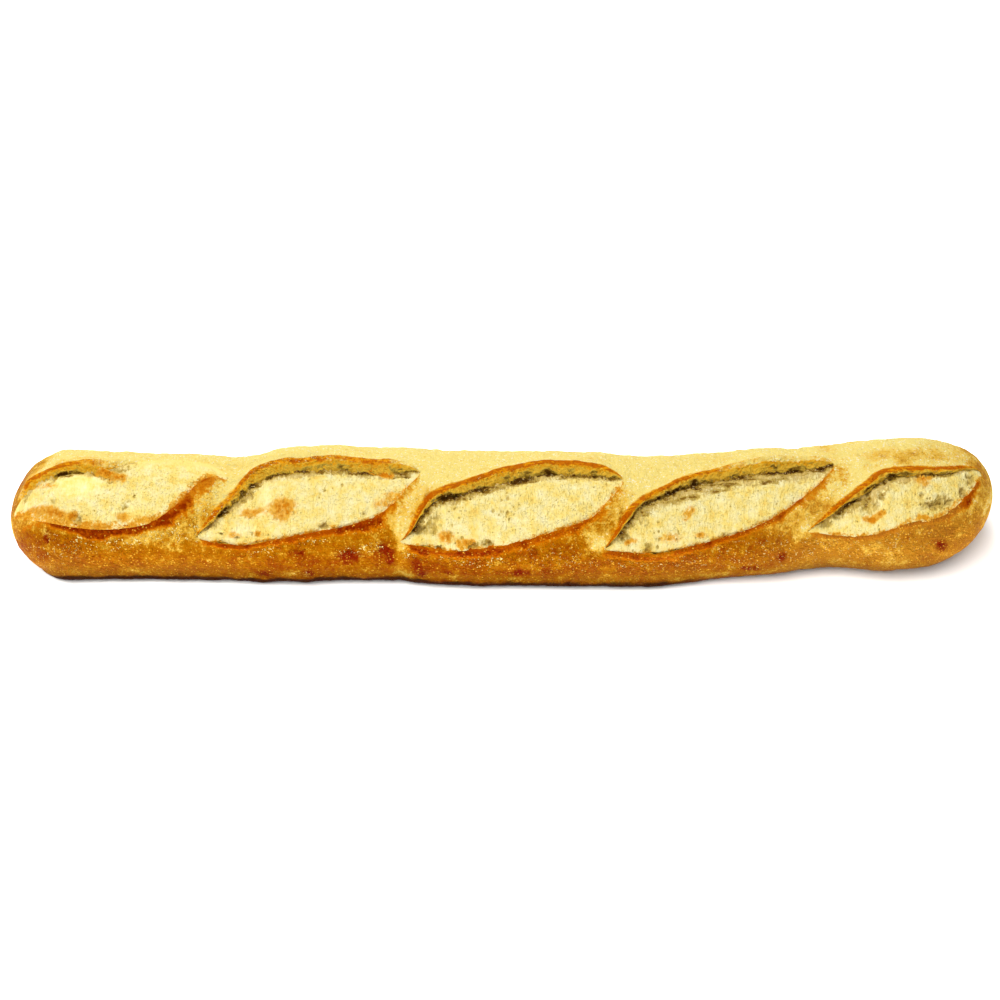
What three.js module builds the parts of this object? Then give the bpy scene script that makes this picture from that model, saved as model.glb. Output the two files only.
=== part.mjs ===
// Baguette: one slashed loaf, baked as a single piece.
// Millimetres. +Z is up, the loaf lies along X, and it rests on z = 0.
// The shape is a long domed body; five diagonal slashes opened in the oven, each with a crisp ear of
// crust standing along its upper rim, a crevice under the ear, a pillow of torn crumb and a low lip
// of crust along its lower rim.
import * as THREE from 'three';
import { LoftGeometry } from 'three/addons/geometries/LoftGeometry.js';
import { mergeVertices } from 'three/addons/utils/BufferGeometryUtils.js';

// ---------------------------------------------------------------- main sizes
const LENGTH = 500;          // tip to tip
const HALF_WIDTH = 35;       // half the width of the body where its scale is 1
const HEIGHT = 50;           // height of the body where its scale is 1
const BELLY = 0.42;          // share of the height at which the body is widest
const DOME = 2.2;            // roundness of the upper half, 2 is an ellipse
const SKIRT = 2.6;           // roundness of the lower half, squarer than the top
const FLATTENED = 0.085;     // share of the height that sagged flat on the baking tray
const LEFT_CAP = { length: 31.5, roundness: 1.9, tip: 17.5 };    // rounded left end, height of its tip
const RIGHT_CAP = { length: 40.5, roundness: 2.0, tip: 21.5 };      // rounded right end
const CURL_FROM = 95;        // the underside leaves the tray here ...
const CURL_TO = 235;         // ... and has risen by CURL_RISE here
const CURL_RISE = 6;
const END_FROM = 215;        // the right tip turns up further from here ...
const END_TO = 262;          // ... on a curve that would rise by END_RISE here
const END_RISE = 5;

// Stations along the loaf: x, scale of the section, sideways wander of the middle line.
const STATIONS = [
  [-250, 0.970, 2.0], [-224, 0.977, 1.7], [-189, 0.949, 1.4], [-148, 0.933, 0.3], [-135, 0.922, -0.3],
  [-107, 1.005, 1.2], [-61, 1.003, 1.9], [-25, 1.009, -1.2], [20, 1.008, -1.9], [50, 1.003, -2.5],
  [71, 0.977, -3.3], [107, 0.963, -0.4], [137, 0.972, 1.2], [153, 0.945, 2.2], [170, 0.958, 3.0],
  [199, 1.005, 2.2], [219, 0.996, 3.0], [250, 1.020, 4.6],
];

// ---------------------------------------------------------------- slashes
// A slash is a leaf drawn on the crust. Its tips are given as [x, girth], where girth is the distance
// round the body from the crown line, towards +Y when positive. Each rim leaves the straight line
// between the tips by a bulge, named at every sixth of the way.
const TIP_ROUNDNESS = 0.5;
const SLASHES = [
  { from: [-245.7, -11.6], to: [-137.0, -0.5], ear: 2.2, earFrom: 0.02, earTo: 0.46, crevice: 3.6, lip: 0.9,
    upper: [-4.2, 8.8, 10.6, 11.0, 15.4, 18.2, 24.1], lower: [14.3, 23.8, 24.9, 25.1, 24.0, 11.9, -8.2] },
  { from: [-151.0, -35.5], to: [-40.1, -0.2], ear: 2.6, earFrom: -0.1, earTo: 1.1, crevice: 4.6, lip: 0.9,
    upper: [7.6, 18.8, 30.7, 25.7, 21.6, 17.0, 16.9], lower: [10.7, 15.7, 15.9, 17.8, 21.1, 21.2, 9.4] },
  { from: [-50.0, -38.4], to: [61.6, -0.7], ear: 2.8, earFrom: -0.1, earTo: 1.1, crevice: 4.6, lip: 1.0,
    upper: [-0.3, 19.8, 21.5, 22.2, 23.2, 21.4, 16.5], lower: [8.1, 14.3, 16.4, 17.9, 19.5, 22.2, 13.8] },
  { from: [52.2, -40.0], to: [167.9, 3.3], ear: 2.6, earFrom: -0.1, earTo: 1.1, crevice: 5.0, lip: 0.9,
    upper: [5.2, 19.9, 21.8, 21.6, 20.3, 19.5, 18.7], lower: [7.3, 15.2, 16.6, 18.1, 19.3, 17.7, 14.0] },
  { from: [153.5, -36.0], to: [241.8, -1.4], ear: 2.6, earFrom: -0.1, earTo: 1.1, crevice: 4.8, lip: 1.0,
    upper: [3.6, 6.5, 9.7, 13.3, 7.5, 4.3, 19.8], lower: [5.9, 14.8, 16.6, 16.2, 20.4, 18.8, 13.0] },
];
// Sizes across a slash where it is fully open; they shrink together towards its tips.
const FULL_OPENING = 15;     // a slash this wide has its ear, crevice and lip in full
const EAR_REACH = 10;        // the crust starts to lift this far behind the rim
const EAR_WALL = 2.2;        // width of the torn wall that drops from the ear into the crevice
const CREVICE_FLOOR = 3.4;   // the crumb starts to climb this far from the rim
const CRUMB_TOP = 10;        // ... and has reached its pillow this far from the rim
const CRUMB_DROP = 0.9;      // the pillow of crumb lies this far under the crust line
const LIP_REACH = 3.4;       // half the width of the lip along the lower rim
const LIP_GROOVE = 1.2;      // the groove between crumb and lip lies this far under the crust line
const LIP_WALL = 1.0;        // width of the step from the lip down into the groove

// Swellings and dents of the crust: x, girth, reach along, reach around, height.
const SWELLINGS = [
  [-50, -62, 4, 16, -1.1],   // pleat under the left tip of the middle slash
  [-121, -66, 7, 7, 0.7],
  [-98, -64, 6, 7, 0.6],
  [165, -58, 16, 18, -1.2],  // waist before the last slash
  [196, -60, 20, 18, 0.8],
  [-148, -12, 12, 9, 0.7],   // strap of crust between the first two slashes
  [-44, -20, 9, 12, 0.7],
  [58, -20, 9, 12, 0.7],
  [160, -14, 9, 12, 0.7],
];

// ---------------------------------------------------------------- how finely the skin is drawn
const CAP_STEPS = 7;
const BODY_STEPS = 80;
const ROWS_BACK = 12;        // from the underside over the back to the first slash
const ROWS_BETWEEN = 1;      // of crust between one slash and the next
const ROWS_FRONT = 7;        // from the last slash down to the underside
// Rows inside a slash, as distances from the upper and from the lower rim where it is fully open.
const ROWS_EAR_SIDE = [0, 0.5, EAR_WALL, CREVICE_FLOOR, 7];
const ROWS_LIP_SIDE = [3.6, LIP_WALL, 0];

// ---------------------------------------------------------------- helpers
const clamp = (v, lo, hi) => Math.min(hi, Math.max(lo, v));
const mix = (a, b, t) => a + (b - a) * t;
const smooth = (a, b, v) => {
  const t = clamp((v - a) / (b - a), 0, 1);
  return t * t * (3 - 2 * t);
};

// Smooth curve through values at rising positions.
function curveThrough(positions, values) {
  const n = positions.length;
  const slopes = values.map((_, i) => {
    if (i === 0) return (values[1] - values[0]) / (positions[1] - positions[0]);
    if (i === n - 1) return (values[n - 1] - values[n - 2]) / (positions[n - 1] - positions[n - 2]);
    const before = positions[i] - positions[i - 1];
    const after = positions[i + 1] - positions[i];
    const rise = (values[i + 1] - values[i]) / after;
    const fall = (values[i] - values[i - 1]) / before;
    return (rise * before + fall * after) / (before + after);
  });
  return (x) => {
    let i = 0;
    while (i < n - 2 && x > positions[i + 1]) i += 1;
    const h = positions[i + 1] - positions[i];
    const t = clamp((x - positions[i]) / h, 0, 1);
    return values[i] * (1 + 2 * t) * (1 - t) ** 2 + slopes[i] * h * t * (1 - t) ** 2
      + values[i + 1] * t * t * (3 - 2 * t) + slopes[i + 1] * h * t * t * (t - 1);
  };
}

const scaleAt = curveThrough(STATIONS.map((s) => s[0]), STATIONS.map((s) => s[1]));
const wanderAt = curveThrough(STATIONS.map((s) => s[0]), STATIONS.map((s) => s[2]));
const curlAt = (x) => CURL_RISE * smooth(CURL_FROM, CURL_TO, x) + END_RISE * smooth(END_FROM, END_TO, x);

// Share of the full section left at x: 1 along the body, falling to 0 at the rounded tips.
function capAt(x) {
  const end = x < 0 ? LEFT_CAP : RIGHT_CAP;
  const into = Math.max(Math.abs(x) - LENGTH / 2 + end.length, 0) / end.length;
  return Math.max(1 - into ** end.roundness, 1e-4) ** (1 / end.roundness);
}
const tipAt = (x) => (x < 0 ? LEFT_CAP.tip : RIGHT_CAP.tip) * scaleAt(x);

// The section: a dome over a squarer, flattened lower half, measured out by distance from the crown.
const section = (() => {
  const steps = 1500;
  const arc = [0];
  const ys = [];
  const zs = [];
  for (let i = 0; i <= steps; i += 1) {
    const phi = (Math.PI * i) / steps;
    const upper = Math.cos(phi) >= 0;
    const n = upper ? DOME : SKIRT;
    const reach = upper ? 1 - BELLY : -(BELLY + FLATTENED);
    ys.push(HALF_WIDTH * Math.abs(Math.sin(phi)) ** (2 / n));
    zs.push(HEIGHT * Math.max(BELLY + reach * Math.abs(Math.cos(phi)) ** (2 / n), 0));
    if (i > 0) arc.push(arc[i - 1] + Math.hypot(ys[i] - ys[i - 1], zs[i] - zs[i - 1]));
  }
  const girth = arc[steps];
  const at = (s) => {
    const a = clamp(Math.abs(s), 0, girth);
    let lo = 0;
    let hi = steps;
    while (hi - lo > 1) {
      const mid = (lo + hi) >> 1;
      if (arc[mid] <= a) lo = mid; else hi = mid;
    }
    const t = arc[hi] > arc[lo] ? (a - arc[lo]) / (arc[hi] - arc[lo]) : 0;
    return [Math.sign(s) * mix(ys[lo], ys[hi], t), mix(zs[lo], zs[hi], t)];
  };
  return { girth, at };
})();

// Point of the uncut body at x and girth.
function body(x, girth) {
  const k = scaleAt(x);
  const c = capAt(x);
  const [y, z] = section.at(girth / c);
  const tip = tipAt(x);
  return new THREE.Vector3(x, wanderAt(x) + k * c * y, curlAt(x) + tip + c * (k * z - tip));
}

// Direction straight out of the uncut crust.
function facing(x, girth) {
  const step = 0.25;
  const limit = LENGTH / 2 - 0.05;
  const ahead = body(clamp(x + step, -limit, limit), girth);
  const along = ahead.sub(body(clamp(x - step, -limit, limit), girth));
  const around = body(x, girth + step).sub(body(x, girth - step));
  return along.cross(around).normalize();
}

// ---------------------------------------------------------------- one slash
class Slash {
  constructor(size) {
    Object.assign(this, size);
    this.span = Math.hypot(this.to[0] - this.from[0], this.to[1] - this.from[1]);
    this.dir = [(this.to[0] - this.from[0]) / this.span, (this.to[1] - this.from[1]) / this.span];
    const sixths = this.upper.map((_, i) => i / (this.upper.length - 1));
    this.upperCurve = curveThrough(sixths, this.upper);
    this.lowerCurve = curveThrough(sixths, this.lower);
    this.upperGuide = this.guide(this.upperCurve, 1);
    this.lowerGuide = this.guide(this.lowerCurve, -1);
  }

  // Distance of a rim from the straight line between the tips.
  rim(curve, t) {
    const end = Math.max(4 * t * (1 - t), 0) ** TIP_ROUNDNESS;
    return end * curve(clamp(t, 0, 1));
  }

  // Girth of a rim over x, read off the rim walked in small steps.
  guide(curve, side) {
    const walked = [];
    for (let i = 0; i <= 120; i += 1) {
      const t = 0.5 - 0.5 * Math.cos((Math.PI * i) / 120);
      const q = side * this.rim(curve, t);
      const x = this.from[0] + this.dir[0] * this.span * t - this.dir[1] * q;
      const girth = this.from[1] + this.dir[1] * this.span * t + this.dir[0] * q;
      if (walked.length === 0 || x > walked[walked.length - 1][0] + 0.02) walked.push([x, girth]);
    }
    return (x) => {
      let i = 0;
      while (i < walked.length - 2 && x > walked[i + 1][0]) i += 1;
      const t = clamp((x - walked[i][0]) / (walked[i + 1][0] - walked[i][0]), 0, 1);
      return mix(walked[i][1], walked[i + 1][1], t);
    };
  }

  // Where a spot of crust lies: place along, depth inside either rim and how far the slash is open.
  locate(x, girth) {
    const dx = x - this.from[0];
    const dg = girth - this.from[1];
    const t = (dx * this.dir[0] + dg * this.dir[1]) / this.span;
    const q = dg * this.dir[0] - dx * this.dir[1];
    const up = this.rim(this.upperCurve, t);
    const down = -this.rim(this.lowerCurve, t);
    const h = 0.01;
    const slope = (curve) => (this.rim(curve, t + h) - this.rim(curve, t - h)) / (2 * h * this.span);
    const opening = clamp((up - down) / FULL_OPENING, 0, 1);
    const size = Math.max(opening, 0.12);
    return {
      t,
      opening,
      underEar: (up - q) / Math.hypot(1, clamp(slope(this.upperCurve), -2, 2)) / size,
      overLip: (q - down) / Math.hypot(1, clamp(slope(this.lowerCurve), -2, 2)) / size,
    };
  }

  // Height of the surface over the uncut body.
  relief(x, girth) {
    const { t, underEar, overLip, opening } = this.locate(x, girth);
    if (opening <= 0) return 0;
    const begun = smooth(this.earFrom, this.earFrom + 0.1, t);
    const ended = 1 - smooth(this.earTo - 0.12, this.earTo, t);
    const stand = begun * ended;
    const ragged = 1 + 0.16 * Math.sin(x * 0.55 + 1.3) + 0.12 * Math.sin(x * 1.31);
    const ear = this.ear * stand;
    const crevice = mix(CRUMB_DROP, this.crevice * ragged, stand);
    if (underEar <= 0) {
      const lift = clamp(1 + underEar / EAR_REACH, 0, 1);
      return opening * ear * lift ** 1.6;
    }
    if (overLip <= 0) return opening * this.lip * (1 - smooth(0, LIP_REACH, -overLip));
    const wall = mix(ear, -crevice, smooth(0.1, EAR_WALL, underEar));
    const climb = smooth(CREVICE_FLOOR - 1.5, CRUMB_TOP, underEar);
    const crumb = underEar < EAR_WALL ? wall : mix(-crevice, -CRUMB_DROP, climb);
    const step = mix(this.lip, -LIP_GROOVE, smooth(0, LIP_WALL, overLip));
    const settled = smooth(LIP_WALL, LIP_REACH + LIP_WALL, overLip);
    return opening * Math.min(mix(step, crumb, settled), Math.max(crumb, step));
  }
}
const slashes = SLASHES.map((size) => new Slash(size));

// The finished skin at x and girth.
function skin(x, girth) {
  const point = body(x, girth);
  let rise = 0;
  for (const slash of slashes) rise += slash.relief(x, girth);
  for (const [sx, sg, reachAlong, reachAround, height] of SWELLINGS) {
    rise += height * Math.exp(-(((x - sx) / reachAlong) ** 2) - ((girth - sg) / reachAround) ** 2);
  }
  point.addScaledVector(facing(x, girth), rise * smooth(0.25, 0.6, capAt(x)));
  point.z = Math.max(point.z, 0);
  return point;
}

// ---------------------------------------------------------------- rows that follow the rims
// Both rims of every slash own a row all along the loaf. Beside its slash the row lies on the rim.
// Elsewhere the rows share out the crust between them like a row of linked springs.
const HOLD = 60;             // stiffness that holds a row to its rim
const LET_GO = 34;           // distance past the tip over which a row is let go
const ROWS_IN_SLASH = ROWS_EAR_SIDE.length + ROWS_LIP_SIDE.length;

function rimRows(x, full) {
  const links = [ROWS_BACK];
  const holds = [];
  const targets = [];
  slashes.forEach((slash, k) => {
    const past = Math.max(slash.from[0] - x, x - slash.to[0], 0);
    const hold = HOLD * (past > 0 ? 0.02 : 1) * (1 - smooth(0, LET_GO, past)) ** 2;
    const least = past > 0 ? 1.2 : 0.4;
    const next = slashes[k + 1];
    const crowding = past > 0 && next && x > next.from[0] ? next.upperGuide(x) + 4 : -full;
    const up = Math.max(slash.upperGuide(x), crowding + least);
    const down = Math.max(Math.min(slash.lowerGuide(x), up - least), crowding);
    holds.push(hold, hold);
    targets.push(clamp(up, -0.7 * full, 0.7 * full), clamp(down, -0.72 * full, 0.66 * full));
    links.push(ROWS_IN_SLASH - 1, k < slashes.length - 1 ? ROWS_BETWEEN + 1 : ROWS_FRONT);
  });
  // Balance of the springs: each row is pulled by its two neighbours and by its rim.
  const n = targets.length;
  const diagonal = [];
  const right = [];
  for (let i = 0; i < n; i += 1) {
    diagonal.push(1 / links[i] + 1 / links[i + 1] + holds[i]);
    right.push(holds[i] * targets[i] + (i === 0 ? full / links[0] : 0) - (i === n - 1 ? full / links[n] : 0));
  }
  for (let i = 1; i < n; i += 1) {
    const pull = 1 / links[i];
    diagonal[i] -= (pull * pull) / diagonal[i - 1];
    right[i] += (pull * right[i - 1]) / diagonal[i - 1];
  }
  const rows = new Array(n);
  rows[n - 1] = right[n - 1] / diagonal[n - 1];
  for (let i = n - 2; i >= 0; i -= 1) rows[i] = (right[i] + rows[i + 1] / links[i + 1]) / diagonal[i];
  return rows;
}

// Slants a distance across a rim into a distance round the body at one x.
function slant(guide, x) {
  const slope = (guide(x + 1) - guide(x - 1)) / 2;
  return Math.hypot(1, clamp(slope, -2, 2));
}

function ring(x) {
  const full = section.girth * capAt(x);
  const rims = rimRows(x, full);
  const girths = [];
  for (let j = 0; j < ROWS_BACK; j += 1) {
    const t = 1 - j / ROWS_BACK;
    girths.push(mix(rims[0], full, mix(t, t * t, 0.55)));
  }
  slashes.forEach((slash, k) => {
    const up = rims[2 * k];
    const down = rims[2 * k + 1];
    const open = up - down;
    const size = clamp(open / FULL_OPENING / 1.1, 0, 1);
    const earSide = ROWS_EAR_SIDE.map((d) => d * size * slant(slash.upperGuide, x));
    const lipSide = ROWS_LIP_SIDE.map((d) => d * size * slant(slash.lowerGuide, x));
    const used = earSide[earSide.length - 1] + lipSide[0];
    const fit = Math.min(1, (0.9 * open) / used);
    const crowded = [...earSide.map((d) => up - d * fit), ...lipSide.map((d) => down + d * fit)];
    const past = Math.max(slash.from[0] - x, x - slash.to[0], 0);
    const even = smooth(0, 8, past);
    crowded.forEach((g, j) => girths.push(mix(g, mix(up, down, j / (crowded.length - 1)), even)));
    const next = k < slashes.length - 1 ? rims[2 * k + 2] : -full;
    const rows = k < slashes.length - 1 ? ROWS_BETWEEN : ROWS_FRONT - 1;
    for (let j = 1; j <= rows; j += 1) {
      const t = j / (rows + 1);
      girths.push(mix(down, next, k < slashes.length - 1 ? t : mix(t, t * t, 0.3)));
    }
  });
  return girths.map((g) => skin(x, g));
}

// ---------------------------------------------------------------- the loaf
const places = [];
const capPlace = (end, i) => {
  const alpha = mix(0.14, Math.PI / 2, i / CAP_STEPS);
  return LENGTH / 2 - end.length * (1 - Math.cos(alpha));
};
for (let i = 0; i < CAP_STEPS; i += 1) places.push(-capPlace(LEFT_CAP, i));
for (let i = 0; i <= BODY_STEPS; i += 1) {
  places.push(mix(-LENGTH / 2 + LEFT_CAP.length, LENGTH / 2 - RIGHT_CAP.length, i / BODY_STEPS));
}
for (let i = CAP_STEPS - 1; i >= 0; i -= 1) places.push(capPlace(RIGHT_CAP, i));

// The rings close on a single point at either tip, and the slivers this makes there are dropped.
function closedLoft(rings, first, last) {
  const point = (tip) => rings[0].map(() => tip.clone());
  const lofted = new LoftGeometry([point(first), ...rings, point(last)]);
  lofted.deleteAttribute('normal');
  lofted.deleteAttribute('uv');
  const merged = mergeVertices(lofted, 1e-3);
  const corners = merged.index.array;
  const kept = [];
  for (let i = 0; i < corners.length; i += 3) {
    const [a, b, c] = [corners[i], corners[i + 1], corners[i + 2]];
    if (a !== b && b !== c && c !== a) kept.push(a, b, c);
  }
  merged.setIndex(kept);
  merged.computeVertexNormals();
  return merged;
}

const tipPoint = (x) => new THREE.Vector3(x, wanderAt(x), curlAt(x) + tipAt(x));
const geometry = closedLoft(places.map(ring), tipPoint(-LENGTH / 2), tipPoint(LENGTH / 2));
geometry.computeBoundingBox();
const middle = geometry.boundingBox.getCenter(new THREE.Vector3());
geometry.translate(-middle.x, -middle.y, -geometry.boundingBox.min.z);

const crust = new THREE.MeshStandardMaterial({ name: 'crust', color: 0xc98a3a, roughness: 0.6, metalness: 0 });
const loaf = new THREE.Mesh(geometry, crust);
loaf.name = 'loaf';

const group = new THREE.Group();
group.name = 'baguette';
group.add(loaf);

export default group;
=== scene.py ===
"""A slashed baguette on a pale floor.

The loaf is one long domed body with five slashes that opened in the oven. Its crust is one mesh and the
torn crumb in each slash is another, and both are worked out from named sizes. The finest threads of
crumb, across the gaps under the ears, belong to the finishes.
Sizes of the bread are in millimetres and become metres when a mesh is made.
"""

from __future__ import annotations

import logging
import math
from dataclasses import dataclass
from enum import Enum
from functools import cached_property
from typing import Any, Callable, Sequence

import bpy
import numpy as np
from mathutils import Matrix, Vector

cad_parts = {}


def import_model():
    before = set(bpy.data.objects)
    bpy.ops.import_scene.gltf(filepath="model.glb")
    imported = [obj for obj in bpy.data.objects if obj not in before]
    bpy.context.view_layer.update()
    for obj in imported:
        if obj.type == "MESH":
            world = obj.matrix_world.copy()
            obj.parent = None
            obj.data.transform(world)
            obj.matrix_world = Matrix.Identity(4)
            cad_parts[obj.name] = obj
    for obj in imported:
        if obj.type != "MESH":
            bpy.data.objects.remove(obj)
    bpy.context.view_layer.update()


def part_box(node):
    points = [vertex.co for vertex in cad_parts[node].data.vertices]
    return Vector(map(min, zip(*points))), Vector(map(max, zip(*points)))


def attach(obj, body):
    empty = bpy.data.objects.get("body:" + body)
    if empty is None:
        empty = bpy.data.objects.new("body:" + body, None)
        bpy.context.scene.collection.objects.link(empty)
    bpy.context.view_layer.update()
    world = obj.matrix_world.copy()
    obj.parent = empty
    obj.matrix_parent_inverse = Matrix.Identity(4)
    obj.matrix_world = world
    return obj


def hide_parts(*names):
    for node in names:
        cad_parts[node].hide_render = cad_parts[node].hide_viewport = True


LOG = logging.getLogger("baguette")
MM = 0.001

Array = np.ndarray
Colour = tuple[float, float, float]
Point = tuple[float, float, float]
Span = tuple[float, float]
Row = tuple[float, ...]
Marks = dict[str, Array]
Settings = dict[str | int, Any]


# ---- small maths
def smooth(low: Array | float, high: Array | float, value: Array | float) -> Array:
    """Eased step from 0 at low to 1 at high.

    Args:
        low: Where the step starts.
        high: Where the step ends.
        value: What is stepped.

    Returns:
        Values between 0 and 1.
    """
    t = np.clip((np.asarray(value, float) - low) / (np.asarray(high, float) - low), 0.0, 1.0)
    return t * t * (3.0 - 2.0 * t)


def mix(a: Array | float, b: Array | float, t: Array | float) -> Array:
    """Return the blend from a to b by t."""
    return a + (b - a) * t


def bell(distance: Array | float) -> Array:
    """Return a bell that is 1 at no distance and falls off at about 1."""
    return np.exp(-np.square(distance))


def unit(value: Array | float) -> Array:
    """Return the value kept between 0 and 1."""
    return np.clip(value, 0, 1)


@dataclass(frozen=True)
class Fade:
    """Eased change from nothing at one place to the full amount at another."""

    low: float
    high: float
    amount: float = 1.0

    def __call__(self, value: Array | float) -> Array:
        """Return the amount reached at a value."""
        return smooth(self.low, self.high, value) * self.amount


@dataclass(frozen=True)
class Curve:
    """Smooth curve through values at rising positions."""

    positions: Row
    values: Row

    def __call__(self, at: Array | float) -> Array:
        """Read the curve.

        Args:
            at: Positions to read at; outside the ends the curve stays level.

        Returns:
            The curve's values there.
        """
        xs = np.asarray(self.positions, float)
        vs = np.asarray(self.values, float)
        slopes = np.gradient(vs, xs)
        at = np.asarray(at, float)
        i = np.clip(np.searchsorted(xs, at) - 1, 0, len(xs) - 2)
        step = xs[i + 1] - xs[i]
        t = unit((at - xs[i]) / step)
        start = vs[i] * (1 + 2 * t) * (1 - t) ** 2 + slopes[i] * step * t * (1 - t) ** 2
        end = vs[i + 1] * t * t * (3 - 2 * t) + slopes[i + 1] * step * t * t * (t - 1)
        return start + end


@dataclass(frozen=True)
class Grain:
    """Repeatable noise over two coordinates, from a seeded hash of lattice points."""

    seed: int

    def chance(self, i: Array, j: Array, channel: int = 0) -> Array:
        """Draw one number for each lattice point.

        Args:
            i: First lattice coordinates.
            j: Second lattice coordinates.
            channel: Separate draws for the same points.

        Returns:
            Numbers from 0 to 1.
        """
        a = i.astype(np.int64) * 374761393 + j.astype(np.int64) * 668265263
        a = (a + (self.seed * 31 + channel * 7919 + 17) * 1274126177) & 0xFFFFFFFF
        a = ((a ^ (a >> 13)) * 1103515245) & 0xFFFFFFFF
        a = ((a ^ (a >> 16)) * 69069) & 0xFFFFFFFF
        return ((a ^ (a >> 15)) & 0xFFFFFF) / float(0xFFFFFF)

    def cloud(self, u: Array, v: Array) -> Array:
        """Smooth noise with features about one unit across.

        Args:
            u: First coordinates.
            v: Second coordinates.

        Returns:
            Noise from -1 to 1.
        """
        i = np.floor(u)
        j = np.floor(v)
        s = smooth(0.0, 1.0, u - i)
        t = smooth(0.0, 1.0, v - j)
        low = mix(self.chance(i, j), self.chance(i + 1, j), s)
        high = mix(self.chance(i, j + 1), self.chance(i + 1, j + 1), s)
        return mix(low, high, t) * 2.0 - 1.0

    def layers(self, u: Array, v: Array, count: int = 3) -> Array:
        """Noise built of ever finer, weaker layers.

        Args:
            u: First coordinates.
            v: Second coordinates.
            count: Number of layers.

        Returns:
            Noise of about -1 to 1.
        """
        total = np.zeros(np.broadcast(u, v).shape)
        weight = 0.0
        for n in range(count):
            share = 0.5**n
            turn = 1.0 + 0.7 * n
            total = total + share * self.cloud(u * 2.0**n + turn, v * 2.0**n - turn)
            weight += share
        return total / weight

    def holes(self, u: Array, v: Array, share: float, least: float, most: float) -> Array:
        """Round dimples scattered one to a lattice cell.

        Args:
            u: First coordinates, in cells.
            v: Second coordinates, in cells.
            share: Share of the cells that hold one.
            least: Radius of the smallest, in cells.
            most: Radius of the largest, in cells.

        Returns:
            Depth from 0 at a rim to 1 in the middle.
        """
        i = np.floor(u)
        j = np.floor(v)
        depth = np.zeros(np.broadcast(u, v).shape)
        for di in (-1, 0, 1):
            for dj in (-1, 0, 1):
                ci = i + di
                cj = j + dj
                pu = ci + 0.15 + 0.7 * self.chance(ci, cj, 1)
                pv = cj + 0.15 + 0.7 * self.chance(ci, cj, 2)
                radius = mix(least, most, self.chance(ci, cj, 3) ** 2)
                there = self.chance(ci, cj, 4) < share
                away = np.hypot(u - pu, v - pv) / radius
                depth = np.maximum(depth, np.where(there, 1.0 - smooth(0.35, 1.0, away), 0.0))
        return depth


@dataclass(frozen=True)
class Relief:
    """Uneven height or tone over the loaf; along and around are the sizes of its features."""

    seed: int
    amount: float
    along: float
    around: float
    layers: int
    shift: float = 0.0

    def __call__(self, x: Array, girth: Array, seed: int = 0) -> Array:
        """Return about minus the amount to the amount; a piece adds its own seed."""
        grain = Grain(self.seed + seed)
        return self.amount * grain.layers(x / self.along + self.shift, girth / self.around, self.layers)


@dataclass(frozen=True)
class Pores:
    """Round pores, one to a cell at most; along and around are the sizes of a cell."""

    seed: int
    depth: float
    along: float
    around: float
    share: float
    least: float
    most: float

    def __call__(self, x: Array, girth: Array, seed: int = 0) -> Array:
        """Return shares of the depth, 0 at a rim and 1 in the middle; a piece adds its own seed."""
        grain = Grain(self.seed + seed)
        return grain.holes(x / self.along, girth / self.around, self.share, self.least, self.most)


# ---- the loaf's form
@dataclass(frozen=True)
class Cap:
    """Rounded end of the loaf."""

    length: float
    roundness: float
    tip: float


@dataclass(frozen=True)
class Patch:
    """Oval spot on the crust, placed by distance along and girth; a higher crispness sharpens its rim."""

    x: float
    girth: float
    along: float
    around: float
    amount: float
    crispness: float = 1.0

    def weight(self, x: Array, girth: Array) -> Array:
        """Return the spot's amount, faded out around its middle."""
        away = np.hypot((x - self.x) / self.along, (girth - self.girth) / self.around)
        return self.amount * bell(away**self.crispness)


@dataclass(frozen=True)
class Streak:
    """Soft line on the crust between two places, each given by distance along and girth."""

    x0: float
    girth0: float
    x1: float
    girth1: float
    width: float
    amount: float

    def weight(self, x: Array, girth: Array) -> Array:
        """Amount of the streak, faded out to both sides and past both ends.

        Args:
            x: Places along.
            girth: Distances round.

        Returns:
            The amounts.
        """
        dx = self.x1 - self.x0
        dg = self.girth1 - self.girth0
        way = ((x - self.x0) * dx + (girth - self.girth0) * dg) / (dx * dx + dg * dg)
        way = unit(way)
        away = np.hypot(x - self.x0 - way * dx, girth - self.girth0 - way * dg)
        return self.amount * bell(away / self.width)


def patches(*rows: Row) -> tuple[Patch | Streak, ...]:
    """Return a patch for each row of x, girth, size along, size around, amount and any crispness."""
    return tuple(Patch(*row) for row in rows)


def streaks(*rows: Row) -> tuple[Patch | Streak, ...]:
    """Return a streak for each row of x and girth at both ends, width and amount."""
    return tuple(Streak(*row) for row in rows)


def summed(marks: Sequence[Patch | Streak], x: Array, girth: Array) -> Array:
    """Return all patches and streaks added up."""
    return sum((mark.weight(x, girth) for mark in marks), np.zeros(np.broadcast(x, girth).shape))


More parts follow.
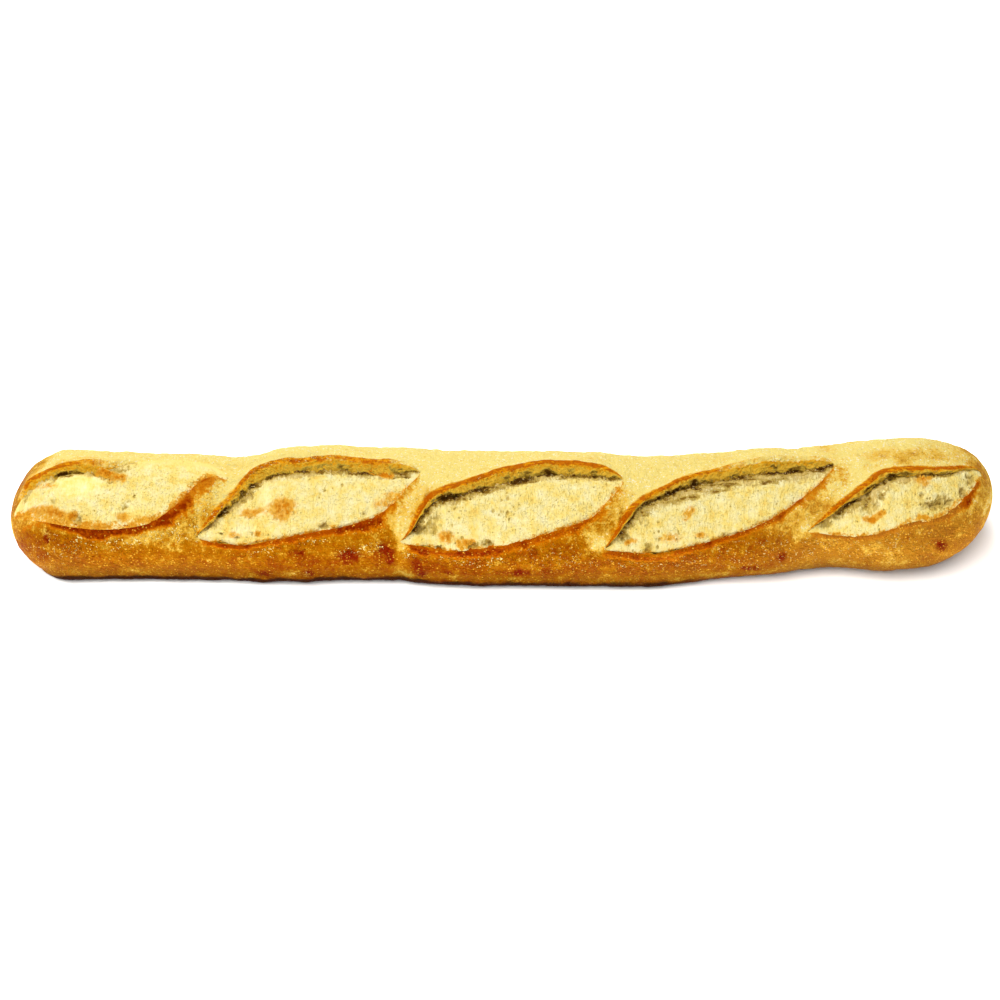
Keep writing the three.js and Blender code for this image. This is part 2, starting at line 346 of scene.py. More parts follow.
@dataclass(frozen=True)
class Body:
    """The uncut loaf: a domed, flat-bottomed section carried along a wandering middle line."""

    length: float = 500.0
    half_width: float = 35.0
    height: float = 50.0
    belly: float = 0.42
    dome: float = 2.2
    skirt: float = 2.6
    flattened: float = 0.085
    left: Cap = Cap(31.5, 1.9, 17.5)
    right: Cap = Cap(40.5, 2.0, 21.5)
    curl: Fade = Fade(95, 235, 6.0)
    end_curl: Fade = Fade(215, 262, 5.0)
    eased: Fade = Fade(0.25, 0.6)
    stations: Row = (
        -250, -224, -189, -148, -135, -107, -61, -25, 20, 50, 71, 107, 137, 153, 170, 199, 219, 250,
    )
    scales: Row = (
        0.97, 0.977, 0.949, 0.933, 0.922, 1.005, 1.003, 1.009, 1.008, 1.003, 0.977, 0.963, 0.972, 0.945,
        0.958, 1.005, 0.996, 1.02,
    )
    wander: Row = (
        2.0, 1.7, 1.4, 0.3, -0.3, 1.2, 1.9, -1.2, -1.9, -2.5, -3.3, -0.4, 1.2, 2.2, 3.0, 2.2, 3.0, 4.6,
    )
    swellings: tuple[Patch | Streak, ...] = streaks((-158, -20, -147, -3, 2.6, 1.1)) + patches(
        (-50, -62, 4, 16, -1.1), (-121, -66, 7, 7, 0.7), (-98, -64, 6, 7, 0.6), (165, -58, 16, 18, -1.2),
        (196, -60, 20, 18, 0.8), (-148, -12, 12, 9, 0.7), (-44, -20, 9, 12, 0.7), (58, -20, 9, 12, 0.7),
        (160, -14, 9, 12, 0.7),
    )

    @cached_property
    def scale_at(self) -> Curve:
        """Scale of the section over x."""
        return Curve(self.stations, self.scales)

    @cached_property
    def wander_at(self) -> Curve:
        """Sideways place of the middle line over x."""
        return Curve(self.stations, self.wander)

    @cached_property
    def table(self) -> tuple[Array, Array, Array]:
        """Half the section, measured out from the crown.

        Returns:
            Distances round it, and the sideways places and heights there.
        """
        phi = np.linspace(0.0, math.pi, 3001)
        upper = np.cos(phi) >= 0
        power = 2.0 / np.where(upper, self.dome, self.skirt)
        reach = np.where(upper, 1 - self.belly, -(self.belly + self.flattened))
        ys = self.half_width * np.abs(np.sin(phi)) ** power
        zs = self.height * np.maximum(self.belly + reach * np.abs(np.cos(phi)) ** power, 0.0)
        arc = np.concatenate([[0.0], np.cumsum(np.hypot(np.diff(ys), np.diff(zs)))])
        return arc, ys, zs

    @property
    def girth(self) -> float:
        """Half the way round the full section."""
        return float(self.table[0][-1])

    def cap_at(self, x: Array) -> Array:
        """Share of the full section left at x, falling to 0 at the tips.

        Args:
            x: Places along.

        Returns:
            Shares from 0 to 1.
        """
        x = np.asarray(x, float)
        left = x < 0
        length = np.where(left, self.left.length, self.right.length)
        power = np.where(left, self.left.roundness, self.right.roundness)
        into = np.maximum(np.abs(x) - self.length / 2 + length, 0.0) / length
        return np.maximum(1.0 - into**power, 1e-4) ** (1.0 / power)

    def curl_at(self, x: Array) -> Array:
        """Return how far the underside has curled up off the floor at x."""
        return self.curl(x) + self.end_curl(x)

    def tip_at(self, x: Array) -> Array:
        """Return the height of the nearer tip, at the scale of the section at x."""
        return np.where(np.asarray(x) < 0, self.left.tip, self.right.tip) * self.scale_at(x)

    def point(self, x: Array, girth: Array) -> Array:
        """Place on the uncut loaf.

        Args:
            x: Places along.
            girth: Distances round from the crown line, positive towards +Y.

        Returns:
            Points, with the three coordinates last.
        """
        x, girth = np.broadcast_arrays(np.asarray(x, float), np.asarray(girth, float))
        arc, ys, zs = self.table
        k = self.scale_at(x)
        c = self.cap_at(x)
        tip = self.tip_at(x)
        round_by = np.abs(girth / c)
        y = np.sign(girth) * np.interp(round_by, arc, ys)
        z = np.interp(round_by, arc, zs)
        return np.stack([x, self.wander_at(x) + k * c * y, self.curl_at(x) + tip + c * (k * z - tip)], -1)

    def outward(self, x: Array, girth: Array) -> Array:
        """Direction straight out of the uncut crust.

        Args:
            x: Places along.
            girth: Distances round it from the crown line.

        Returns:
            Unit directions.
        """
        step = 0.25
        limit = self.length / 2 - 0.05
        along = self.point(np.clip(x + step, -limit, limit), girth)
        along = along - self.point(np.clip(x - step, -limit, limit), girth)
        around = self.point(x, girth + step) - self.point(x, girth - step)
        out = np.cross(along, around)
        return out / np.maximum(np.linalg.norm(out, axis=-1, keepdims=True), 1e-9)

    def swelling(self, x: Array, girth: Array) -> Array:
        """Return the height of the gentle swellings and dents of the crust."""
        return summed(self.swellings, x, girth)

    def ease_at(self, x: Array) -> Array:
        """Return how much relief is left near the tips."""
        return self.eased(self.cap_at(x))


@dataclass(frozen=True)
class Spot:
    """Where points of crust lie within one slash.

    Distances inside the rims are in sizes of the full opening. Under the ear come its browned band, down
    to band, and its torn wall, down to wall_end; share is how deep the wall is of its full depth.
    """

    t: Array
    opening: Array
    under_ear: Array
    over_lip: Array
    wall_end: Array
    share: Array
    band: Array
    depth: Array


@dataclass(frozen=True)
class Opening:
    """Sizes across a fully open slash, shared by every slash."""

    full: float = 15.0
    ear_reach: float = 9.0
    band: float = 2.7
    band_fall: float = 1.5
    wall: float = 3.4
    wall_fall: float = 3.1
    drop: float = 0.6
    crumb_before: float = 0.8
    crumb_climb: float = 8.0
    crumb_drop: float = 0.7
    lip_reach: float = 3.0
    recess: float = 9.0
    tip_roundness: float = 0.5
    least_open: float = 0.12
    steepest: float = 2.0
    plain_depths: Row = (0.0, 1.0, 2.0, 3.5, 4.9)
    plain_falls: Row = (0.0, 0.7, 2.0, 5.5, 9.0)
    lip_depths: Row = (0.0, 0.5, 1.1, 1.9)
    lip_falls: Row = (0.0, 0.4, 2.6, 9.5)

    def fall(self, under: Array, end: Array) -> Array:
        """How far the ear's underside has fallen.

        Args:
            under: Distances in under the ear.
            end: Distances at which the torn wall ends.

        Returns:
            Falls from the ear's ridge.
        """
        share = end / (self.band + self.wall)
        band = self.band * share
        bent = self.band_fall * share * unit(under / band) ** 1.7
        wall = self.wall_fall * share * unit((under - band) / (end - band))
        return bent + wall + 10.0 * unit((under - end) / self.drop)


@dataclass(frozen=True)
class Slash:
    """One leaf-shaped slash between two tips; each rim bulges away from the line between them."""

    name: str
    start: tuple[float, float]
    end: tuple[float, float]
    upper: Row
    lower: Row
    ear: float
    lip: float
    walls: Row
    depths: Row
    ledges: Row = (0.0, 0.0)
    gilt: float = 1.7
    gilding: float = 0.6
    # Painted shade: olive down the torn wall, at the gap's foot, and how far it reaches over the crumb
    # beside it.
    olive_shade: float = 1.0
    gap_foot_shade: float = 1.0
    shade_reach: float = 3.5
    bands: Row = (1.0, 1.0)
    ear_span: tuple[float, float] = (-0.1, 1.1)
    ear_fade: float = 0.12
    sizes: Opening = Opening()

    @property
    def span(self) -> float:
        """Distance between the tips."""
        return math.hypot(self.end[0] - self.start[0], self.end[1] - self.start[1])

    @property
    def direction(self) -> tuple[float, float]:
        """Unit direction from the first tip to the second."""
        return ((self.end[0] - self.start[0]) / self.span, (self.end[1] - self.start[1]) / self.span)

    def rim(self, bulges: Row, t: Array) -> Array:
        """Return how far a rim with these bulges is from the line between the tips, at place t."""
        rounded = np.maximum(4 * t * (1 - t), 0.0) ** self.sizes.tip_roundness
        return rounded * self.along(bulges, t)

    def along(self, values: Row, t: Array) -> Array:
        """Return values given at even steps from the first tip to the second, read at place t."""
        steps = tuple(i / (len(values) - 1) for i in range(len(values)))
        return Curve(steps, values)(unit(t))

    def wall_end(self, t: Array) -> Array:
        """Return how far under the ear its torn wall ends, at place t."""
        return (self.sizes.band + self.sizes.wall) * np.maximum(self.along(self.walls, t), 0.12)

    def place(self, t: Array, across: Array) -> tuple[Array, Array]:
        """Return x and girth of a place t along and across, positive towards the ear."""
        dx, dg = self.direction
        return (
            self.start[0] + dx * self.span * t - dg * across,
            self.start[1] + dg * self.span * t + dx * across,
        )

    def locate(self, x: Array, girth: Array) -> Spot:
        """Find where points of crust lie within the slash.

        Args:
            x: Places along.
            girth: Distances round.

        Returns:
            Place along the slash, how far it is open there, and depth inside either rim.
        """
        dx, dg = self.direction
        rx = np.asarray(x, float) - self.start[0]
        rg = np.asarray(girth, float) - self.start[1]
        t = (rx * dx + rg * dg) / self.span
        q = rg * dx - rx * dg
        up = self.rim(self.upper, t)
        down = -self.rim(self.lower, t)
        h = 0.01
        up_slope = (self.rim(self.upper, t + h) - self.rim(self.upper, t - h)) / (2 * h * self.span)
        down_slope = (self.rim(self.lower, t + h) - self.rim(self.lower, t - h)) / (2 * h * self.span)
        opening = unit((up - down) / self.sizes.full)
        size = np.maximum(opening, self.sizes.least_open)
        steep = self.sizes.steepest
        wall_end = self.wall_end(t)
        share = wall_end / (self.sizes.band + self.sizes.wall)
        return Spot(
            t=t,
            opening=opening,
            wall_end=wall_end,
            share=share,
            band=self.sizes.band * share,
            depth=np.maximum(self.along(self.depths, t), 0.0),
            under_ear=(up - q) / np.hypot(1, np.clip(up_slope, -steep, steep)) / size,
            over_lip=(q - down) / np.hypot(1, np.clip(down_slope, -steep, steep)) / size,
        )

    def past(self, x: Array) -> Array:
        """Return how far x lies past the nearer tip, 0 between the tips."""
        return np.maximum(np.maximum(self.start[0] - x, x - self.end[0]), 0.0)

    def stand(self, t: Array) -> Array:
        """Return how fully the ear stands at place t."""
        begun = smooth(self.ear_span[0], self.ear_span[0] + 0.1, t)
        return begun * (1 - smooth(self.ear_span[1] - self.ear_fade, self.ear_span[1], t))

    def guide(self, bulges: Row, side: int, x: Array) -> Array:
        """Return the girth of a rim over x, level past the tips; see followed."""
        return self.followed(bulges, side, x)[0]

    def followed(self, bulges: Row, side: int, x: Array) -> tuple[Array, Array]:
        """Follow a rim over x.

        Args:
            bulges: The rim's distances from the line between the tips.
            side: 1 for the upper rim, -1 for the lower.
            x: Places along.

        Returns:
            Girths, level past the tips, and places along the slash.
        """
        t = 0.5 - 0.5 * np.cos(np.linspace(0, math.pi, 241))
        xs, girths = self.place(t, side * self.rim(bulges, t))
        furthest = np.maximum.accumulate(xs)
        kept = np.concatenate([[True], xs[1:] > furthest[:-1] + 0.02])
        return np.interp(x, xs[kept], girths[kept]), np.interp(x, xs[kept], t[kept])


def five_slashes() -> tuple[Slash, ...]:
    """Return the slashes from left to right, with their sizes."""
    return (
        Slash(
            name="first", start=(-245.7, -11.6), end=(-137.0, -0.5), ear=1.7, lip=0.3, gilt=2.4,
            gilding=0.9, olive_shade=0.3, shade_reach=2.4, ear_span=(0.0, 0.66), ear_fade=0.22,
            upper=(6.0, 17.5, 15.4, 16.6, 17.4, 16.6, 17.4, 18.2, 20.0, 22.0, 23.5, 24.3, 24.1),
            lower=(14.3, 21.0, 23.8, 24.6, 24.9, 25.2, 25.1, 25.0, 24.0, 19.6, 9.8, -1.5, -2.0),
            walls=(0.5, 0.8, 0.72, 0.55, 0.92, 1.45, 1.6, 0.9, 0.5, 0.5, 0.5, 0.5, 0.5),
            depths=(0.4, 0.4, 0.4, 1.6, 1.7, 1.6, 0.4, 0.1, 0.1, 0.1, 0.1, 0.1, 0.1),
            bands=(0.9, 0.9, 0.85, 0.5, 0.22, 0.12, 0.05, 0.0, 0.0),
            ledges=(0.2, 0.6, 0.9, 1.0, 1.0, 1.0, 1.0, 0.9, 0.7, 0.5, 0.2, 0.0, 0.0),
        ),
        Slash(
            name="second", start=(-151.0, -35.5), end=(-40.1, -0.2), ear=2.6, lip=0.5, gap_foot_shade=0.8,
            olive_shade=0.85, shade_reach=5.0,
            upper=(7.6, 18.8, 30.7, 25.7, 21.6, 17.0, 16.9),
            lower=(10.7, 15.7, 15.9, 17.8, 21.1, 21.2, 9.4),
            walls=(0.15, 0.3, 0.9, 1.05, 1.0, 1.0, 0.5),
            depths=(0.3, 0.6, 2.2, 2.0, 1.8, 2.2, 0.6),
            bands=(0.6, 0.75, 0.7, 0.7, 0.65, 0.65, 0.2),
        ),
        Slash(
            name="third", start=(-50.0, -38.4), end=(61.6, -0.7), ear=2.6, lip=0.5, gilt=1.6, gap_foot_shade=0.85,
            upper=(-0.3, 19.8, 21.5, 22.2, 23.2, 21.4, 16.5),
            lower=(8.1, 14.3, 16.4, 17.9, 19.5, 22.2, 13.8),
            walls=(0.15, 0.25, 0.65, 1.0, 1.0, 0.95, 0.45),
            shade_reach=5.0,
            depths=(0.3, 0.9, 2.4, 2.2, 1.8, 1.4, 0.4),
            ledges=(0.0, 0.5, 0.7, 0.5, 0.0, 0.0, 0.0),
        ),
        Slash(
            name="fourth", start=(52.2, -40.0), end=(167.9, 3.3), ear=2.5, lip=0.5,
            upper=(5.2, 19.9, 21.8, 21.6, 20.3, 19.5, 18.7),
            lower=(7.3, 15.2, 16.6, 18.1, 19.3, 17.7, 14.0),
            walls=(0.15, 0.25, 0.4, 0.7, 1.0, 1.2, 0.6),
            shade_reach=11.0,
            depths=(0.3, 0.8, 1.7, 2.3, 2.7, 2.4, 1.0),
            bands=(1.0, 1.0, 1.0, 0.75, 0.3, 0.22, 0.25),
        ),
        Slash(
            name="fifth", start=(153.5, -36.0), end=(241.8, -1.4), ear=2.3, lip=0.5, gilt=1.6,
            olive_shade=0.75, gap_foot_shade=0.75, shade_reach=7.5,
            upper=(3.6, 6.5, 9.7, 13.3, 8.5, 3.2, 5.0),
            lower=(5.9, 14.8, 16.6, 16.2, 20.4, 18.8, 13.0),
            walls=(0.15, 0.2, 0.3, 0.4, 0.35, 0.25, 0.15),
            depths=(0.3, 0.8, 2.6, 2.8, 0.8, 0.3, 0.2),
            bands=(0.7, 0.8, 1.0, 1.0, 0.9, 0.8, 0.8),
            ledges=(0.0, 0.4, 0.7, 0.7, 0.7, 0.6, 0.3),
        ),
    )


# ---- meshes
def add_object(name: str, data: bpy.types.ID) -> bpy.types.Object:
    """Add an object to the scene.

    Args:
        name: Its name.
        data: Its mesh, light or camera.

    Returns:
        The object.
    """
    made = bpy.data.objects.new(name, data)
    bpy.context.scene.collection.objects.link(made)
    return made


@dataclass
class Shell:
    """Vertices and faces of one closed piece, with what varies over it."""

    points: Array
    quads: Array
    triangles: Array
    values: Marks
    unwrapped: Array

    def build(self, name: str, shift: Array) -> bpy.types.Object:
        """Make the Blender object.

        Args:
            name: Name of the piece.
            shift: Millimetres to move the points by, into the part's frame.

        Returns:
            The object, smooth shaded, with one attribute for each varying value.
        """
        mesh = bpy.data.meshes.new(name)
        points = (self.points + shift) * MM
        corners = np.concatenate([self.quads.ravel(), self.triangles.ravel()]).astype(np.int32)
        sizes = np.concatenate([np.full(len(self.quads), 4), np.full(len(self.triangles), 3)])
        starts = np.concatenate([[0], np.cumsum(sizes)[:-1]]).astype(np.int32)
        mesh.vertices.add(len(points))
        mesh.vertices.foreach_set("co", points.astype(np.float32).ravel())
        mesh.loops.add(len(corners))
        mesh.loops.foreach_set("vertex_index", corners)
        mesh.polygons.add(len(sizes))
        mesh.polygons.foreach_set("loop_start", starts)
        mesh.polygons.foreach_set("loop_total", sizes.astype(np.int32))
        mesh.polygons.foreach_set("use_smooth", np.ones(len(sizes), bool))
        for key, value in self.values.items():
            layer = mesh.attributes.new(key, "FLOAT", "POINT")
            layer.data.foreach_set("value", value.astype(np.float32).ravel())
        unwrap = mesh.uv_layers.new(name="OFBake")
        unwrap.data.foreach_set("uv", self.unwrapped[corners].astype(np.float32).ravel())
        mesh.update()
        mesh.validate()
        return add_object(name, mesh)


@dataclass(frozen=True)
class Crust:
    """The whole baked skin, with a deep recess where each slash opened."""

    body: Body
    slashes: tuple[Slash, ...]
    # Rings and rows of points.
    columns: int = 860
    cap_columns: int = 40
    first_angle: float = 0.03
    rows_back: int = 11
    rows_front: int = 14
    crowded_back: float = 0.5
    crowded_front: float = 0.3
    rows_outside: Row = (3.0, 1.2)
    rows_band: Row = (0.0, 0.3, 0.62, 1.0)
    rows_wall: Row = (0.2, 0.4, 0.6, 0.8, 1.0)
    rows_drop: Row = (0.35, 1.0)
    rows_lip: Row = (2.0, 1.2, 0.6, 0.0)
    hold: float = 60.0
    free_hold: float = 0.02
    let_go: float = 34.0
    free_gap: float = 1.2
    least_gap: float = 0.4
    clear_of_next: float = 4.0
    upper_rims: Span = (-0.7, 0.7)
    lower_rims: Span = (-0.72, 0.66)
    evened: Fade = Fade(0, 8)
    full_rows: float = 1.1
    used: float = 0.9
    # Rise and fall of the surface.
    toe: float = 2.0
    toe_girth: float = 68.5
    toe_width: float = 5.0
    toe_ends: Fade = Fade(85, 125)
    lumps: Relief = Relief(31, 0.42, 10.0, 12.0, 4)
    blisters: Relief = Relief(32, 0.24, 3.6, 4.2, 3)
    edge_grit: Relief = Relief(33, 0.35, 1.8, 2.2, 3)
    tears: Relief = Relief(34, 0.8, 1.9, 2.2, 3)
    wall_pores: Pores = Pores(35, 1.3, 3.0, 1.9, 0.6, 0.25, 0.6)
    rougher_back: Fade = Fade(10, 24)
    flat_base: Fade = Fade(70, 78)
    wobble: Relief = Relief(11, 0.45, 4.0, 5.0, 3)
    ragged: Relief = Relief(12, 0.55, 1.9, math.inf, 2)
    ear_swell: Relief = Relief(13, 0.5, 9.0, math.inf, 4)
    thin_ear: float = 0.55
    steadied: Fade = Fade(0.0, 1.5)
    lip_wobble: float = 1.9
    ragged_from: float = 0.6
    ragged_share: float = 1.6
    # Marks of a slash.
    marked: Fade = Fade(0.02, 0.25)
    edge_outside: Span = (3.6, 0.8)
    edge_inside: Span = (-0.3, 0.5)
    edge_over: float = 0.8
    seam_opens: Fade = Fade(0.02, 0.3)
    seam_starts: Fade = Fade(-3.0, -0.1)
    seam_ends: Fade = Fade(1.0, 1.6)
    seam_under: float = 3.0
    plain_tear: Fade = Fade(1.0, 2.2)
    torn_over: float = 1.2
    wall_shade_share: float = 0.55
    # Browning.
    near_side: Fade = Fade(-14, -42, 0.62)
    low_side: Fade = Fade(-40, -58, 0.13)
    far_side: Fade = Fade(26, 56, 0.68)
    underside: Fade = Fade(76, 84)
    underside_brown: float = 0.62
    blotches: Relief = Relief(21, 0.1, 22.0, 15.0, 3)
    spotted: Relief = Relief(22, 0.6, 3.0, 3.0, 2)
    spot_share: float = 0.85
    frosted_right: Fade = Fade(110, 170, 0.8)
    # Scorched base edge, darkened further as painted contact shade where the loaf meets the floor; it fades
    # where the loaf lifts off.
    scorched_and_contact_shaded: Fade = Fade(63.7, 64.9)
    scorch_edge: Relief = Relief(23, 1.5, 7.0, math.inf, 3)
    scorch_ends: Fade = Fade(80, 120, 0.8)
    # Painted shade: the low sides darken towards the floor.
    painted_low_shade: Fade = Fade(50, 66)
    # Strips of the flat layout.
    strip_girth: float = 18.0
    front_strip: float = 0.3
    back_strip: float = 0.18
    strip_gap: float = 0.01
    inset: float = 0.002

    def places(self) -> Array:
        """Places along the loaf where a ring is drawn, closer together at the tips.

        Returns:
            The places, from left to right.
        """
        alpha = np.linspace(self.first_angle, math.pi / 2, self.cap_columns, endpoint=False)
        start = -self.body.length / 2
        end = self.body.length / 2
        left = self.body.left.length
        right = self.body.right.length
        middle = np.linspace(start + left, end - right, self.columns - 2 * self.cap_columns)
        into = 1 - np.cos(alpha)
        return np.concatenate([start + left * into, middle, (end - right * into)[::-1]])

    def rim_rows(self, x: Array) -> Array:
        """Girths of the rows held to the rims, shared out like linked springs elsewhere.

        Args:
            x: Places along.

        Returns:
            One column of girths for each rim, from the back to the front.
        """
        full = self.body.girth * self.body.cap_at(x)
        inside = len(self.rows_band) + len(self.rows_wall) + len(self.rows_drop) + len(self.rows_lip) - 1
        outside = len(self.rows_outside)
        links = [float(self.rows_back + outside)]
        holds: list[Array] = []
        targets: list[Array] = []
        for k, slash in enumerate(self.slashes):
            past = slash.past(x)
            free = past > 0
            hold = self.hold * np.where(free, self.free_hold, 1.0) * (1 - smooth(0, self.let_go, past)) ** 2
            least = np.where(free, self.free_gap, self.least_gap)
            crowding = -full
            if k + 1 < len(self.slashes):
                following = self.slashes[k + 1]
                beside = free & (x > following.start[0])
                clear = following.guide(following.upper, 1, x) + self.clear_of_next
                crowding = np.where(beside, clear, -full)
            up = np.maximum(slash.guide(slash.upper, 1, x), crowding + least)
            down = np.maximum(np.minimum(slash.guide(slash.lower, -1, x), up - least), crowding)
            holds += [hold, hold]
            targets.append(np.clip(up, self.upper_rims[0] * full, self.upper_rims[1] * full))
            targets.append(np.clip(down, self.lower_rims[0] * full, self.lower_rims[1] * full))
            links += [float(inside), float(outside + 2)]
        links[-1] = float(self.rows_front)
        return self.balance(links, np.stack(holds), np.stack(targets), full)

    @staticmethod
    def balance(links: list[float], holds: Array, targets: Array, full: Array) -> Array:
        """Solve for the rest places of a row of linked, held springs.

        Args:
            links: Length of each link.
            holds: Stiffness of each hold, for every place along.
            targets: Where each hold pulls to.
            full: Where the chain is fixed: plus full at its start, minus full at its end.

        Returns:
            Rest places, one column for each held point.
        """
        count = len(targets)
        diagonal = [1 / links[i] + 1 / links[i + 1] + holds[i] for i in range(count)]
        right = [holds[i] * targets[i] for i in range(count)]
        right[0] = right[0] + full / links[0]
        right[-1] = right[-1] - full / links[-1]
        for i in range(1, count):
            pull = 1 / links[i]
            diagonal[i] = diagonal[i] - pull * pull / diagonal[i - 1]
            right[i] = right[i] + pull * right[i - 1] / diagonal[i - 1]
        rests = [right[-1] / diagonal[-1]]
        for i in range(count - 2, -1, -1):
            rests.insert(0, (right[i] + rests[0] / links[i + 1]) / diagonal[i])
        return np.stack(rests, 1)

    def slant(self, slash: Slash, bulges: Row, side: int, x: Array) -> Array:
        """Return how much longer a distance across a rim gets when measured round the loaf."""
        slope = (slash.guide(bulges, side, x + 1) - slash.guide(bulges, side, x - 1)) / 2
        return np.hypot(1, np.clip(slope, -slash.sizes.steepest, slash.sizes.steepest))

    def inner_rows(self, slash: Slash, up: Array, down: Array, x: Array) -> list[Array]:
        """Girths of the rows between the two rims of a slash.

        Args:
            slash: The slash.
            up: Girths of its upper rim.
            down: Girths of its lower rim.
            x: Places along.

        Returns:
            The rows, from the ear to the lip.
        """
        size = self.openness(slash, up, down)
        slant_up = self.slant(slash, slash.upper, 1, x)
        slant_down = self.slant(slash, slash.lower, -1, x)
        end = slash.wall_end(slash.followed(slash.upper, 1, x)[1])
        band = end * slash.sizes.band / (slash.sizes.band + slash.sizes.wall)
        inward = [d * band for d in self.rows_band]
        inward += [mix(band, end, d) for d in self.rows_wall]
        inward += [end + d * slash.sizes.drop for d in self.rows_drop]
        ear_side = [d * size * slant_up for d in inward]
        lip_side = [d * size * slant_down for d in self.rows_lip]
        fit = np.minimum(1, self.used * (up - down) / np.maximum(ear_side[-1] + lip_side[0], 1e-6))
        crowded = [up - d * fit for d in ear_side] + [down + d * fit for d in lip_side]
        last = len(crowded) - 1
        even = self.evened(slash.past(x))
        return [mix(g, mix(up, down, j / last), even) for j, g in enumerate(crowded)]

    def openness(self, slash: Slash, up: Array, down: Array) -> Array:
        """Return how far a slash is open between its rims, as a share of its full opening."""
        return unit((up - down) / slash.sizes.full / self.full_rows)

    def outer_rows(
        self, slash: Slash, up: Array, down: Array, x: Array, before: Array, lead: int
    ) -> list[Array]:
        """Girths of the rows just outside the upper rim of a slash.

        Args:
            slash: The slash.
            up: Girths of its upper rim.
            down: Girths of its lower rim.
            x: Places along.
            before: Girths of the last row before these.
            lead: Number of rows that come between.

        Returns:
            The rows, from the back towards the rim.
        """
        size = self.openness(slash, up, down)
        slant_up = self.slant(slash, slash.upper, 1, x)
        count = len(self.rows_outside)
        even = self.evened(slash.past(x))
        rows: list[Array] = []
        for j, d in enumerate(self.rows_outside):
            close = up + np.minimum(d * size * slant_up, (0.3 + 0.1 * d) * (before - up))
            rows.append(mix(close, mix(before, up, (lead + j) / (lead + count)), even))
        return rows

    def girths(self, x: Array) -> Array:
        """Girth of every row at every place along.

        Args:
            x: Places along.

        Returns:
            One line of girths for each place, from the underside over the back to the underside.
        """
        full = self.body.girth * self.body.cap_at(x)
        rims = self.rim_rows(x)
        rows: list[Array] = []
        before = full
        for k, slash in enumerate(self.slashes):
            up = rims[:, 2 * k]
            down = rims[:, 2 * k + 1]
            outer = self.outer_rows(slash, up, down, x, before, self.rows_back if k == 0 else 1)
            if k == 0:
                for j in range(self.rows_back):
                    t = 1 - j / self.rows_back
                    rows.append(mix(outer[0], full, mix(t, t * t, self.crowded_back)))
            else:
                rows.append(mix(before, outer[0], 0.5))
            rows += outer + self.inner_rows(slash, up, down, x)
            before = down
        for j in range(1, self.rows_front):
            t = j / self.rows_front
            rows.append(mix(before, -full, mix(t, t * t, self.crowded_front)))
        return np.stack(rows, 1)

    def rise(self, x: Array, girth: Array) -> tuple[Array, Marks]:
        """Height of the crust over the uncut loaf, and what its finish needs to know.

        Args:
            x: Places along.
            girth: Distances round.

        Returns:
            Heights, and strengths of the browned edge, lower seam, torn wall and painted shade in the gap.
        """
        height = np.zeros(np.broadcast(x, girth).shape)
        marks = {key: height for key in ("edge", "seam", "torn", "gap_shade")}
        wobble = self.wobble(x, girth)
        ragged = self.ragged(x, girth)
        swell = self.ear_swell(x, girth)
        for slash in self.slashes:
            s = slash.sizes
            spot = slash.locate(x, girth)
            stand = slash.stand(spot.t)
            ear = slash.ear * stand * (1 + swell) * mix(self.thin_ear, 1.0, unit(spot.share))
            under = spot.under_ear + wobble * self.steadied(spot.under_ear) * spot.share
            over = spot.over_lip + self.lip_wobble * wobble
            frayed = ragged * smooth(self.ragged_from * spot.band, spot.wall_end, under)
            deeper = under + frayed * np.minimum(spot.share * self.ragged_share, 1)
            outside_ear = ear * unit(1 + under / s.ear_reach) ** 2.0
            outside_lip = slash.lip * (1 - smooth(0, s.lip_reach, -over))
            ear_wall = ear - s.fall(deeper, spot.wall_end)
            plain_wall = -np.interp(under, s.plain_depths, s.plain_falls)
            lip_wall = slash.lip - np.interp(over, s.lip_depths, s.lip_falls)
            inside = np.maximum(np.maximum(mix(plain_wall, ear_wall, stand), lip_wall), -s.recess)
            risen = np.where(under <= 0, outside_ear, np.where(over <= 0, outside_lip, inside))
            height = height + spot.opening * risen
            marked = self.marks(slash, spot, ragged, under, over, deeper)
            marks = {key: np.maximum(mark, marked[key]) for key, mark in marks.items()}
        return height, marks

    def marks(
        self, slash: Slash, spot: Spot, ragged: Array, under: Array, over: Array, deeper: Array
    ) -> Marks:
        """What one slash shows on the crust.

        Args:
            slash: The slash.
            spot: Where the points lie within it.
            ragged: How the wall's lower edge frays.
            under: Distances in under the wobbling ear.
            over: Distances in over the wobbling lip.
            deeper: Distances in under the frayed ear.

        Returns:
            Strengths of the browned edge, lower seam, torn wall and painted shade in the gap.
        """
        stand = slash.stand(spot.t)
        band = spot.band
        opened = self.marked(spot.opening) * stand
        outer = mix(*self.edge_outside, unit(spot.share))
        begun = smooth(-outer, 0.2 - 0.3 * outer, under)
        ended = smooth(band + self.edge_inside[0], band + self.edge_inside[1], under + ragged * 0.8)
        strength = unit(slash.along(slash.bands, spot.t))
        seam = self.seam_starts(over) * (1 - self.seam_ends(over))
        within = (under > 0) & (over > 0) & (spot.over_lip > self.torn_over)
        fall = smooth(0.65 * band, band + 0.2, under + ragged)
        # Painted shade in the gap: olive down the wall, darkest at its foot.
        sunk = smooth(spot.wall_end - 0.5, spot.wall_end + 0.1, deeper) * opened
        way = slash.olive_shade * unit((deeper - band) / (spot.wall_end - band)) * opened
        way = self.wall_shade_share * way
        return {
            "edge": begun * (1 - ended) * opened * strength * (over > self.edge_over),
            "seam": seam * self.seam_opens(spot.opening) * (under > self.seam_under),
            "torn": np.where(within, mix(self.plain_tear(under + ragged), fall, stand), 0.0),
            "gap_shade": np.where(within, way + (slash.gap_foot_shade - way) * sunk, 0.0),
        }

